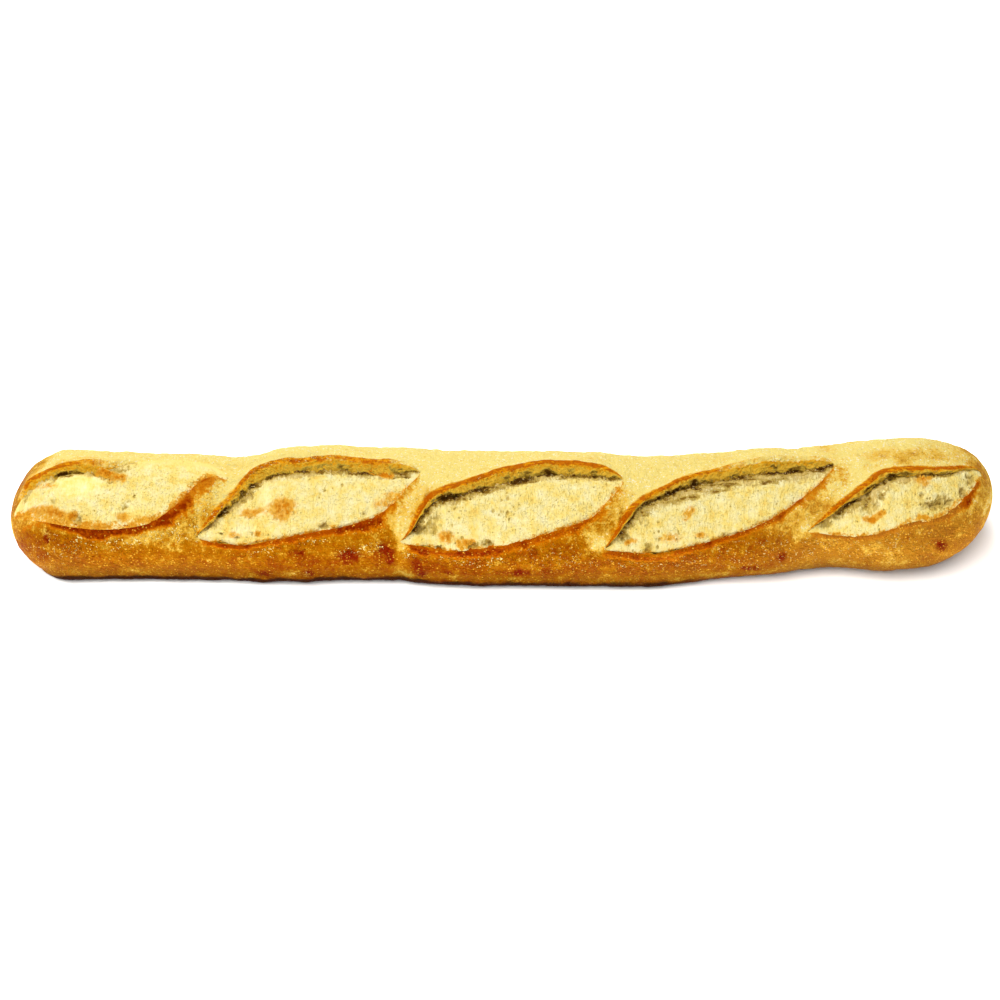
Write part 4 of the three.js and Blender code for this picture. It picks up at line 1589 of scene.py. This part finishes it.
class Graph:
    """Node tree of one material, filled through one method."""

    def __init__(self, name: str) -> None:
        """Start an empty material.

        Args:
            name: Name of the material.
        """
        self.material = bpy.data.materials.new(name)
        self.material.use_nodes = True
        self.tree = self.material.node_tree
        self.tree.nodes.clear()

    @cached_property
    def at(self) -> Wire:
        """Place on the object, in millimetres."""
        return self.darken(self.wire(self.add("ShaderNodeTexCoord"), "Object"), 1.0 / MM)

    def add(
        self, kind: str, settings: Settings | None = None, inputs: Settings | None = None
    ) -> bpy.types.Node:
        """Add one node.

        Args:
            kind: Node type, such as "ShaderNodeTexNoise".
            settings: Properties of the node, set before its sockets are used.
            inputs: Values or wires for its sockets, by name or number.

        Returns:
            The node.
        """
        node = self.tree.nodes.new(kind)
        for key, value in (settings or {}).items():
            setattr(node, key, value)
        for key, value in (inputs or {}).items():
            self.feed(node.inputs[key], value)
        return node

    def feed(self, socket: bpy.types.NodeSocket, value: Any) -> None:
        """Give a socket a wire or a value.

        Args:
            socket: The socket to fill.
            value: A Wire, a number, a colour of three parts or a vector.
        """
        if isinstance(value, Wire):
            self.tree.links.new(value.socket, socket)
        elif isinstance(value, tuple) and socket.type == "RGBA":
            socket.default_value = (*value, 1.0)
        else:
            socket.default_value = value

    def wire(self, node: bpy.types.Node, output: str | int = 0) -> Wire:
        """Return one output of a node as a wire."""
        return Wire(self, node.outputs[output])

    def attribute(self, name: str) -> Wire:
        """Return a value that the mesh carries at its points."""
        node = self.add("ShaderNodeAttribute", {"attribute_type": "GEOMETRY", "attribute_name": name})
        return self.wire(node, "Fac")

    def noise(self, noise: Noise) -> Wire:
        """Soft noise.

        Args:
            noise: Its sizes.

        Returns:
            Values around 0.5.
        """
        at = self.at if noise.stretch is None else self.tint(self.at, noise.stretch)
        node = self.add(
            "ShaderNodeTexNoise",
            {"noise_dimensions": "3D"},
            {"Vector": at, "Scale": 1.0 / noise.size, "Detail": noise.detail, "Roughness": noise.rough},
        )
        return self.wire(node, "Fac")

    def uneven(self, noise: Noise) -> Wire:
        """Return soft noise around 0."""
        return self.noise(noise) - 0.5

    def cells(self, size: float, feature: Feature) -> Wire:
        """Return a distance in scattered cells of a size in millimetres."""
        node = self.add(
            "ShaderNodeTexVoronoi", {"feature": feature.value}, {"Vector": self.at, "Scale": 1.0 / size}
        )
        return self.wire(node, "Distance")

    def blend(self, amount: Wire | float, a: Wire | Colour, b: Wire | Colour) -> Wire:
        """Return the mix of two colours, with all of the second at an amount of 1."""
        kind = {"data_type": "RGBA", "blend_type": "MIX"}
        return self.wire(self.add("ShaderNodeMix", kind, {0: amount, 6: a, 7: b}), 2)

    def amount(self, layer: Layer, value: Wire) -> Wire:
        """Return how much of a layer there is at a value, before its cover."""
        return self.step(value, layer.low, layer.high)

    def cover(self, layer: Layer, amount: Wire, colour: Wire | Colour) -> Wire:
        """Return a colour with this amount of a layer over it."""
        return self.blend(amount * layer.cover if layer.cover < 1.0 else amount, colour, layer.colour)

    def lay(self, layer: Layer, value: Wire, colour: Wire | Colour) -> Wire:
        """Return a colour with a layer over it, as much as there is of it at a value."""
        return self.cover(layer, self.amount(layer, value), colour)

    def tint(self, colour: Wire, by: Colour | Point) -> Wire:
        """Return a colour or place times another, part by part."""
        node = self.add("ShaderNodeVectorMath", {"operation": "MULTIPLY"}, {0: colour, 1: by})
        return self.wire(node, "Vector")

    def darken(self, colour: Wire, by: Wire | float) -> Wire:
        """Return a colour or place times a number."""
        node = self.add("ShaderNodeVectorMath", {"operation": "SCALE"}, {0: colour, "Scale": by})
        return self.wire(node, "Vector")

    def step(self, value: Wire, low: float, high: float) -> Wire:
        """Eased step of a value.

        Args:
            value: What is stepped.
            low: Where the step starts.
            high: Where the step ends; below low for a falling step.

        Returns:
            0 to 1.
        """
        start, end = (low, high) if low < high else (high, low)
        node = self.add(
            "ShaderNodeMapRange",
            {"interpolation_type": "SMOOTHSTEP"},
            {"Value": value, "From Min": start, "From Max": end},
        )
        stepped = self.wire(node, "Result")
        return stepped if low < high else 1.0 - stepped

    def bump(self, height: Wire, depth: float) -> Wire:
        """Return the normal for a height, with 1 for the full depth in millimetres."""
        node = self.add("ShaderNodeBump", None, {"Height": height, "Distance": depth * MM, "Strength": 1.0})
        return self.wire(node, "Normal")

    def finish(self, **sockets: Any) -> bpy.types.Material:
        """Add the shader and the output.

        Args:
            **sockets: Values and wires of the shader's sockets, with _ for a space in their names.

        Returns:
            The finished material.
        """
        inputs = {key.replace("_", " "): value for key, value in sockets.items()}
        shader = self.add("ShaderNodeBsdfPrincipled", None, inputs)
        self.add("ShaderNodeOutputMaterial", None, {"Surface": self.wire(shader, "BSDF")})
        return self.material


def operation(kind: str, swapped: bool = False) -> Callable[[Wire, Any], Wire]:
    """Make the method for one sign, such as plus, between a wire and another value.

    Args:
        kind: The maths node's operation.
        swapped: Whether the wire stands after the sign.

    Returns:
        The method.
    """

    def method(wire: Wire, other: Any) -> Wire:
        """Return the result of the operation."""
        return wire.calc(kind, other, wire) if swapped else wire.calc(kind, wire, other)

    return method


class Wire:
    """One number or colour flowing through a material; sums are written as plain expressions."""

    def __init__(self, graph: Graph, socket: bpy.types.NodeSocket) -> None:
        """Wrap an output socket."""
        self.graph = graph
        self.socket = socket

    def calc(self, operation: str, first: Any, second: Any = 0.0, clamp: bool = False) -> Wire:
        """Work out one step of maths.

        Args:
            operation: The maths node's operation.
            first: First operand.
            second: Second operand.
            clamp: Whether the result is kept between 0 and 1.

        Returns:
            The result.
        """
        node = self.graph.add("ShaderNodeMath", {"operation": operation, "use_clamp": clamp})
        self.graph.feed(node.inputs[0], first)
        self.graph.feed(node.inputs[1], second)
        return Wire(self.graph, node.outputs[0])

    __add__ = operation("ADD")
    __radd__ = operation("ADD", swapped=True)
    __sub__ = operation("SUBTRACT")
    __rsub__ = operation("SUBTRACT", swapped=True)
    __mul__ = operation("MULTIPLY")
    __rmul__ = operation("MULTIPLY", swapped=True)

    def clamped(self) -> Wire:
        """Return the value kept between 0 and 1."""
        return self.calc("ADD", self, 0.0, clamp=True)

    def most(self, other: Wire | float) -> Wire:
        """Return the larger of two values."""
        return self.calc("MAXIMUM", self, other)


# ---- finishes
@dataclass(frozen=True)
class CrustFinish:
    """Baked crust: pale where it stayed soft, golden to deep brown where the heat reached it."""

    blotch: Noise = Noise(8.0, 3.0, 0.55)
    mottle: Noise = Noise(2.6, 3.0, 0.6)
    speckle: Noise = Noise(0.85, 2.0, 0.6)
    pale: Colour = (0.9, 0.71, 0.205)
    straw: Layer = Layer((0.84, 0.5, 0.06), 0.0, 0.3)
    gold: Layer = Layer((0.46, 0.16, 0.0008), 0.2, 0.55)
    brown: Layer = Layer((0.29, 0.052, 0.0002), 0.45, 1.05)
    dark_spot: Layer = Layer((0.21, 0.0125, 0.0001), 0.1, 0.75)
    ember_fold: Layer = Layer((0.6, 0.165, 0.002), 0.05, 0.46, 0.9)
    brown_fold: Layer = Layer((0.38, 0.06, 0.0003), 0.42, 0.9, 0.9)
    dark_fold_and_shade: Layer = Layer((0.21, 0.0125, 0.0001), 0.7, 1.15, 0.9)
    # The ear's edge.
    edge: Span = (0.05, 0.7)
    edge_inside: Span = (0.02, 0.25)
    edge_cover: float = 0.95
    lengthwise: Noise = Noise(1.2, 3.0, 0.6, (0.3, 1.0, 1.0))
    light_edge: Colour = (0.8, 0.3, 0.004)
    brown_edge: Layer = Layer((0.5, 0.1, 0.0003), -0.05, 0.38)
    # The torn wall under it, with painted shade deepening down into the gap.
    torn: Span = (0.25, 0.75)
    tear: Noise = Noise(1.3, 4.0, 0.65)
    web: Noise = Noise(1.5, 3.0, 0.65, (0.45, 1.0, 1.0))
    blobs: Noise = Noise(4.2, 2.0, 0.5, (0.5, 1.0, 1.0))
    blobs_from: Span = (0.0, 0.25)
    wall: Colour = (0.94, 0.41, 0.01)
    pale_wall: Layer = Layer((0.97, 0.57, 0.05), -0.12, 0.26)
    olive_shade: Layer = Layer((0.62, 0.41, 0.055), 0.32, 0.6, 0.85)
    hollow_shade: Layer = Layer((0.27, 0.14, 0.012), 0.62, 0.88, 0.88)
    black_gap_shadow: Layer = Layer((0.08, 0.03, 0.002), 1.0, 1.28)
    thread: Noise = Noise(0.9, 2.0, 0.6, (1.0, 0.35, 0.35))
    strand: Layer = Layer((0.64, 0.45, 0.15), 0.08, 0.18, 0.8)
    strand_depths: Span = (0.35, 0.75)
    # Frosting and flecks, and painted glints.
    grit: Noise = Noise(0.75, 1.0, 0.5)
    coarse: Noise = Noise(0.95, 1.0, 0.6)
    gate: Noise = Noise(2.8)
    browned: Span = (0.05, 0.4)
    painted_glint: Layer = Layer((1.0, 0.84, 0.34), 0.175, 0.235, 0.95)
    painted_glint_gate: Span = (0.05, 0.35)
    painted_glint_clear_of_seam: Span = (0.12, 0.5)
    dot_size: float = 1.5
    dot_rims: Span = (0.36, 0.2)
    fleck: Layer = Layer((0.88, 0.47, 0.045), -0.03, 0.12, 0.8)
    dusty: Layer = Layer((0.6, 0.29, 0.04), 0.15, 0.5, 0.5)
    dusty_clear_of_spot: Span = (0.1, 0.6)
    warmth: Layer = Layer((1.0, 0.97, 0.25), 0.25, 0.65, 0.9)
    warm_seam: Span = (0.03, 0.42)
    speck: Layer = Layer((1.0, 0.92, 0.62), 0.11, 0.21, 0.85)
    speck_clear_of_seam: Span = (0.05, 0.46)
    painted_low_shade_strength: float = 0.5
    scorch_and_contact_shade: Layer = Layer((0.022, 0.003, 0.0002), 0.0, 1.0, 0.95)
    # Relief and sheen.
    pimple_size: float = 1.25
    pimple_rims: Span = (0.5, 0.05)
    fine_skin: Noise = Noise(0.9, 3.0, 0.6)
    coarse_skin: Noise = Noise(3.2, 4.0, 0.6)
    relief: float = 1.1
    roughness: float = 0.5
    pale_rougher: float = 0.22
    sheen_steps: Span = (0.1, 0.6)
    specular: float = 0.01
    specular_tint: Colour = (1.0, 0.62, 0.22)
    ior: float = 1.45

    def material(self) -> bpy.types.Material:
        """Build the crust's material.

        Returns:
            The material.
        """
        g = Graph("baked_crust")
        blotch = g.uneven(self.blotch)
        mottle = g.uneven(self.mottle)
        speckle = g.uneven(self.speckle)
        toned = g.attribute("browning")
        brown = toned + blotch * (0.35 + 1.5 * toned)
        brown = brown + mottle * (0.15 + toned) + speckle * (0.15 + 0.8 * toned)
        colour = g.lay(self.straw, brown, self.pale)
        colour = g.lay(self.gold, brown, colour)
        colour = g.lay(self.brown, brown, colour)
        spot = g.attribute("spot") * (1.0 + 1.4 * mottle + 0.8 * speckle)
        colour = g.lay(self.dark_spot, spot, colour)
        crease = g.attribute("crease") * (1.0 + 0.8 * mottle)
        seam = crease + g.attribute("seam") * 0.34 + mottle * 0.8 + speckle * 0.4
        colour = g.lay(self.ember_fold, seam, colour)
        colour = g.lay(self.brown_fold, seam, colour)
        # Dark fold line: deeper browning, partly painted shade.
        colour = g.lay(self.dark_fold_and_shade, crease + mottle * 0.4, colour)
        band = g.attribute("edge")
        edge = band + mottle * 0.7 + blotch * 0.6 + speckle * 0.4
        edged = g.step(edge, *self.edge) * g.step(band, *self.edge_inside)
        heat = g.uneven(self.lengthwise) * 1.8 + blotch + speckle * 0.5 + band * 0.34
        heat = heat + g.attribute("spot") * 0.8
        colour = g.blend(edged * self.edge_cover, colour, g.lay(self.brown_edge, heat, self.light_edge))
        torn = g.step(g.attribute("torn") + mottle + speckle * 0.6, *self.torn)
        tear = g.uneven(self.tear)
        colour = g.blend(torn, colour, self.torn_wall(g, tear))
        outside = (1.0 - torn) * (1.0 - 0.3 * edged)
        browned = g.step(brown, *self.browned)
        painted_glint_share = g.attribute("painted_glint_share")
        coarse = g.uneven(self.coarse)
        gate = g.uneven(self.gate)
        # Painted glints: bright specks standing in for highlights on the blisters.
        painted_glints = g.amount(self.painted_glint, coarse + gate * 0.5 + painted_glint_share * 0.07) * outside
        painted_glints = painted_glints * g.step(painted_glint_share, *self.painted_glint_gate)
        painted_glints = painted_glints * (1.0 - g.step(seam, *self.painted_glint_clear_of_seam))
        frost = g.attribute("frost")
        dusted = g.amount(self.fleck, gate + g.uneven(self.grit) * 0.6 + frost * 0.1)
        frosty = g.step(g.cells(self.dot_size, Feature.NEAREST), *self.dot_rims) * dusted * outside
        dulled = frost * g.amount(self.dusty, brown) * (1.0 - torn) * (1.0 - edged)
        colour = g.cover(self.dusty, dulled * (1.0 - g.step(spot, *self.dusty_clear_of_spot)), colour)
        warmed = g.amount(self.warmth, brown).most(g.step(seam, *self.warm_seam)).most(edged)
        warmed = warmed * (1.0 - torn) * (1.0 - 0.6 * dulled) * self.warmth.cover
        colour = g.blend(warmed, colour, g.tint(colour, self.warmth.colour))
        colour = g.cover(self.fleck, frosty * browned, colour)
        white = g.amount(self.speck, coarse + gate * 0.4) * outside * (1.0 - browned) * (1.0 - edged)
        white = white * (1.0 - g.step(seam, *self.speck_clear_of_seam))
        colour = g.cover(self.speck, white, colour)
        colour = g.cover(self.painted_glint, painted_glints, colour)
        # Painted shade, darker low on the sides towards the floor.
        colour = g.darken(colour, 1.0 - self.painted_low_shade_strength * g.attribute("painted_low_shade"))
        # Scorched base edge, partly painted contact shade.
        colour = g.cover(self.scorch_and_contact_shade, g.attribute("base"), colour)
        pimples = g.step(g.cells(self.pimple_size, Feature.SMOOTH), *self.pimple_rims)
        relief = g.noise(self.fine_skin) * 0.8 + g.noise(self.coarse_skin) * 1.8
        relief = relief + pimples * (0.2 + 0.45 * toned + 0.5 * painted_glint_share) + torn * tear * 2.4
        relief = relief + painted_glints * 0.5
        rough = self.roughness + self.pale_rougher * (1.0 - g.step(brown, *self.sheen_steps))
        rough = rough + speckle * 0.4 - 0.15 * painted_glints + torn * 0.3
        return g.finish(
            Base_Color=colour,
            Roughness=rough.clamped(),
            Specular_IOR_Level=self.specular,
            Specular_Tint=self.specular_tint,
            Normal=g.bump(relief, self.relief),
            IOR=self.ior,
        )

    def torn_wall(self, g: Graph, tear: Wire) -> Wire:
        """Colour of the torn wall under an ear, from gold down to painted shade in its gap.

        Args:
            g: The material's graph.
            tear: Fine unevenness of the torn bread.

        Returns:
            The colour.
        """
        web = g.uneven(self.web)
        way = g.attribute("gap_shade")
        wall = g.lay(self.pale_wall, way + web * 1.2 + tear * 1.2, self.wall)
        pits_and_shade = way + g.uneven(self.blobs) * 4.6 * g.step(way, *self.blobs_from) + web * 1.2 + tear * 0.8
        # Painted shade over the wall's own pits: olive, then hollow brown, then near black at the gap's
        # foot.
        wall = g.lay(self.olive_shade, pits_and_shade, wall)
        wall = g.lay(self.hollow_shade, pits_and_shade + g.attribute("pores") * 0.2, wall)
        wall = g.lay(self.black_gap_shadow, pits_and_shade, wall)
        thread = g.uneven(self.thread) - tear * 0.3
        threaded = g.amount(self.strand, thread) * g.step(way, *self.strand_depths)
        return g.cover(self.strand, threaded, wall)


@dataclass(frozen=True)
class CrumbFinish:
    """Torn crumb: cream, with olive shade in its hollows and toast on what stood proud."""

    patches: Noise = Noise(6.0, 3.0, 0.55)
    flecks: Noise = Noise(1.2, 3.0, 0.6)
    streaks: Noise = Noise(1.0, 3.0, 0.6, (1.0, 0.25, 0.25))
    cream: Colour = (0.93, 0.8, 0.36)
    yellow: Layer = Layer((0.91, 0.69, 0.17), -0.16, 0.18, 0.95)
    gold_patch: Layer = Layer((0.78, 0.37, 0.025), 0.09, 0.26, 0.34)
    white: Layer = Layer((0.96, 0.88, 0.56), -0.1, -0.26, 0.55)
    crusted: Colour = (0.88, 0.69, 0.2)
    # By the lip.
    lip_glow: Span = (0.02, 0.22)
    gold_lip: Layer = Layer((0.78, 0.37, 0.025), 0.3, 0.8, 0.92)
    brown_lip: Layer = Layer((0.62, 0.195, 0.003), 0.75, 1.2, 0.7)
    # Painted shade in the hollows and by the gap under the ear.
    shade: Layer = Layer((0.5, 0.33, 0.062), 0.15, 0.8, 0.8)
    beside: Span = (0.02, 0.25)
    blobs: Noise = Noise(4.2, 2.0, 0.5, (0.5, 1.0, 1.0))
    ash_shade: Layer = Layer((0.6, 0.415, 0.125), 0.1, 0.55, 0.8)
    clear_of_lip: Span = (0.3, 0.75)
    shaded_pit: Layer = Layer((0.5, 0.33, 0.062), 0.48, 0.8, 0.88)
    deep_pit_shade: Layer = Layer((0.22, 0.11, 0.009), 1.02, 1.36, 0.92)
    dark_pit_shade: Layer = Layer((0.07, 0.026, 0.002), 1.55, 1.9)
    thread: Noise = Noise(0.8, 2.0, 0.6, (0.45, 0.9, 0.9))
    strand: Layer = Layer((0.74, 0.55, 0.23), 0.07, 0.16, 0.75)
    strand_depths: Span = (0.55, 0.85)
    # Toast on what stood proud.
    gold_toast: Layer = Layer((0.78, 0.37, 0.025), 0.02, 0.3, 0.9)
    brown_toast: Layer = Layer((0.62, 0.195, 0.003), 0.26, 0.8, 0.92)
    # Relief and sheen.
    threads: Noise = Noise(0.75, 3.0, 0.6, (1.0, 0.25, 0.25))
    crumbs: Noise = Noise(0.5)
    hole_size: float = 1.0
    hole_rims: Span = (0.08, 0.4)
    relief: float = 0.95
    roughness: float = 0.75
    specular: float = 0.02
    specular_tint: Colour = (1.0, 0.85, 0.5)
    ior: float = 1.4

    def material(self) -> bpy.types.Material:
        """Build the crumb's material.

        Returns:
            The material.
        """
        g = Graph("torn_crumb")
        patchy = g.uneven(self.patches)
        fleck = g.uneven(self.flecks)
        streaky = g.uneven(self.streaks)
        skinned = g.attribute("skinned")
        tone = patchy + fleck * 0.22 + streaky * 0.28
        colour = g.lay(self.yellow, tone, self.cream)
        colour = g.lay(self.gold_patch, patchy + fleck * 0.5, colour)
        colour = g.lay(self.white, tone, colour)
        colour = g.blend(g.attribute("flush"), colour, self.crusted)
        glow = g.attribute("lipward")
        low = glow + (fleck * 1.8 + patchy * 2.6) * g.step(glow, *self.lip_glow)
        colour = g.lay(self.gold_lip, low, colour)
        colour = g.lay(self.brown_lip, low + fleck * 1.5, colour)
        # Painted shade in the hollows: pores, cells, bubbles and grooves between threads.
        grooves = (0.0 - streaky - 0.08).most(0.0)
        sunken = g.attribute("sunken") * (1.0 + 3.2 * streaky) + fleck * 0.6 + grooves * 1.8
        colour = g.lay(self.shade, sunken * (1.0 - 0.8 * skinned), colour)
        wispy = (streaky * 1.8 + fleck * 0.8) * (1.0 - skinned)
        # Painted shade beside the gap under the ear: ash, then olive pits, then near black.
        shade_near_gap = g.attribute("shade_by_gap") * (1.0 - 0.25 * skinned)
        beside = g.step(shade_near_gap, *self.beside)
        colour = g.lay(self.ash_shade, shade_near_gap + wispy * beside, colour)
        pits_and_shade = shade_near_gap * 1.45 + (g.uneven(self.blobs) * 5.2 + fleck * 1.1) * beside
        deep = g.attribute("deep") * (1.0 - 0.9 * g.step(glow, *self.clear_of_lip))
        pits_and_shade = pits_and_shade + deep * 0.36
        colour = g.lay(self.shaded_pit, pits_and_shade, colour)
        colour = g.lay(self.deep_pit_shade, pits_and_shade, colour)
        colour = g.lay(self.dark_pit_shade, pits_and_shade, colour)
        strung = g.amount(self.strand, g.uneven(self.thread)) * g.step(pits_and_shade, *self.strand_depths)
        colour = g.cover(self.strand, strung, colour)
        toast = g.attribute("toast") * (1.0 + 1.8 * fleck)
        colour = g.lay(self.gold_toast, toast, colour)
        colour = g.lay(self.brown_toast, toast, colour)
        holes = g.step(g.cells(self.hole_size, Feature.SMOOTH), *self.hole_rims)
        matter = 1.0 - 0.75 * skinned.most(g.attribute("flush"))
        relief = (g.noise(self.threads) + holes * 0.5 + g.noise(self.crumbs) * 0.4) * matter
        return g.finish(
            Base_Color=colour,
            Roughness=(self.roughness + fleck * 0.3).clamped(),
            Specular_IOR_Level=self.specular,
            Specular_Tint=self.specular_tint,
            Normal=g.bump(relief, self.relief),
            IOR=self.ior,
        )


@dataclass(frozen=True)
class FloorFinish:
    """Pale matt floor."""

    tone: Colour = (0.885, 0.905, 0.935)
    roughness: float = 0.9

    def material(self) -> bpy.types.Material:
        """Return the floor's material."""
        return Graph("pale_floor").finish(Base_Color=self.tone, Roughness=self.roughness)


# ---- the studio
@dataclass(frozen=True)
class Lamp:
    """One soft lamp: a square sheet of light aimed at the loaf."""

    name: str
    place: Point
    size: Span
    power: float
    colour: Colour = (1.0, 1.0, 1.0)
    target: Point = (0.0, 0.0, 0.02)

    def add(self) -> bpy.types.Object:
        """Add the lamp to the scene.

        Returns:
            The lamp.
        """
        data = bpy.data.lights.new(self.name, "AREA")
        data.shape = "RECTANGLE"
        data.size = self.size[0]
        data.size_y = self.size[1]
        data.energy = self.power
        data.color = self.colour
        lamp = add_object(self.name, data)
        aim_at(lamp, self.place, self.target)
        return lamp


def aim_at(thing: bpy.types.Object, place: Point, target: Point) -> None:
    """Stand a lamp or camera at a place and turn it to a target.

    Args:
        thing: The lamp or camera.
        place: Where it stands.
        target: What it looks at.
    """
    thing.location = place
    view = Vector(target) - Vector(place)
    thing.rotation_euler = view.to_track_quat("-Z", "Y").to_euler()


@dataclass(frozen=True)
class Studio:
    """Camera, floor, lamps and sky."""

    elevation: float = 45.0
    distance: float = 1.275
    lens: float = 90.0
    sensor: float = 36.0
    furthest: float = 200.0
    raised: float = 0.0064
    middle: float = 0.022
    side_shift: float = 0.0
    floor_size: float = 60.0
    sky: float = 0.3
    lamps: tuple[Lamp, ...] = (
        Lamp("overhead_lamp", (-0.3, 0.16, 1.45), (1.0, 0.7), 22.3),
        Lamp("front_lamp", (-0.4, -1.6, 1.5), (1.2, 0.9), 4.5),
    )
    floor_lamp: Lamp = Lamp("floor_lamp", (-0.7, -0.75, 2.1), (2.8, 2.0), 158.0, (1.0, 0.93, 0.85))

    def add_camera(self) -> None:
        """Stand the camera and make it the scene's."""
        tilt = math.radians(self.elevation)
        data = bpy.data.cameras.new("camera")
        data.lens = self.lens
        data.sensor_width = self.sensor
        data.clip_end = self.furthest
        camera = add_object("camera", data)
        aim = (
            0.0,
            self.raised * math.sin(tilt) + self.side_shift,
            self.middle + self.raised * math.cos(tilt),
        )
        place = (0.0, aim[1] - self.distance * math.cos(tilt), aim[2] + self.distance * math.sin(tilt))
        aim_at(camera, place, aim)
        bpy.context.scene.camera = camera

    def add_floor(self) -> bpy.types.Object:
        """Lay the floor.

        Returns:
            The floor.
        """
        half = self.floor_size / 2
        mesh = bpy.data.meshes.new("floor")
        corners = [(-half, -half, 0), (half, -half, 0), (half, half, 0), (-half, half, 0)]
        mesh.from_pydata(corners, [], [(0, 1, 2, 3)])
        floor = add_object("floor", mesh)
        mesh.materials.append(FloorFinish().material())
        return floor

    def add_sky(self) -> None:
        """Light the scene evenly from all around."""
        world = bpy.data.worlds.new("sky")
        bpy.context.scene.world = world
        world.use_nodes = True
        back = world.node_tree.nodes["Background"]
        back.inputs["Color"].default_value = (1.0, 1.0, 1.0, 1.0)
        back.inputs["Strength"].default_value = self.sky

    def build(self) -> None:
        """Set the whole studio up."""
        self.add_camera()
        floor = self.add_floor()
        self.add_sky()
        for lamp in self.lamps:
            lamp.add()
        lit_by_floor_lamp = bpy.data.collections.new("lit_by_floor_lamp")
        lit_by_floor_lamp.objects.link(floor)
        self.floor_lamp.add().light_linking.receiver_collection = lit_by_floor_lamp
        view = bpy.context.scene.view_settings
        view.view_transform = "Standard"
        view.look = "None"
        view.exposure = 0.0


def main() -> None:
    """Build the loaf and the studio, and say what was made."""
    logging.basicConfig(level=logging.INFO, format="%(message)s")
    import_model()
    body = Body()
    slashes = five_slashes()
    crust_shell = Crust(body, slashes).shell()
    low, high = (np.array(c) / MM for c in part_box("loaf"))
    middle = (crust_shell.points.min(0) + crust_shell.points.max(0)) / 2
    shift = np.array([0.0, (low[1] + high[1]) / 2 - middle[1], 0.0])
    crust_finish = CrustFinish().material()
    crumb_finish = CrumbFinish().material()
    shells = [("crust", crust_shell, crust_finish, "crust")]
    for slash in slashes:
        shells.append((f"crumb_{slash.name}", Crumb(body, slash).shell(), crumb_finish, "crumb"))
    for name, shell, finish, slot in shells:
        piece = shell.build(name, shift)
        piece.data.materials.append(finish)
        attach(piece, "root")
        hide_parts("loaf")
        faces = 2 * len(shell.quads) + len(shell.triangles)
        LOG.info("%s: %d points, %d triangles", name, len(shell.points), faces)
    Studio(side_shift=float(shift[1]) * MM).build()


if __name__ == "__main__":
    main()
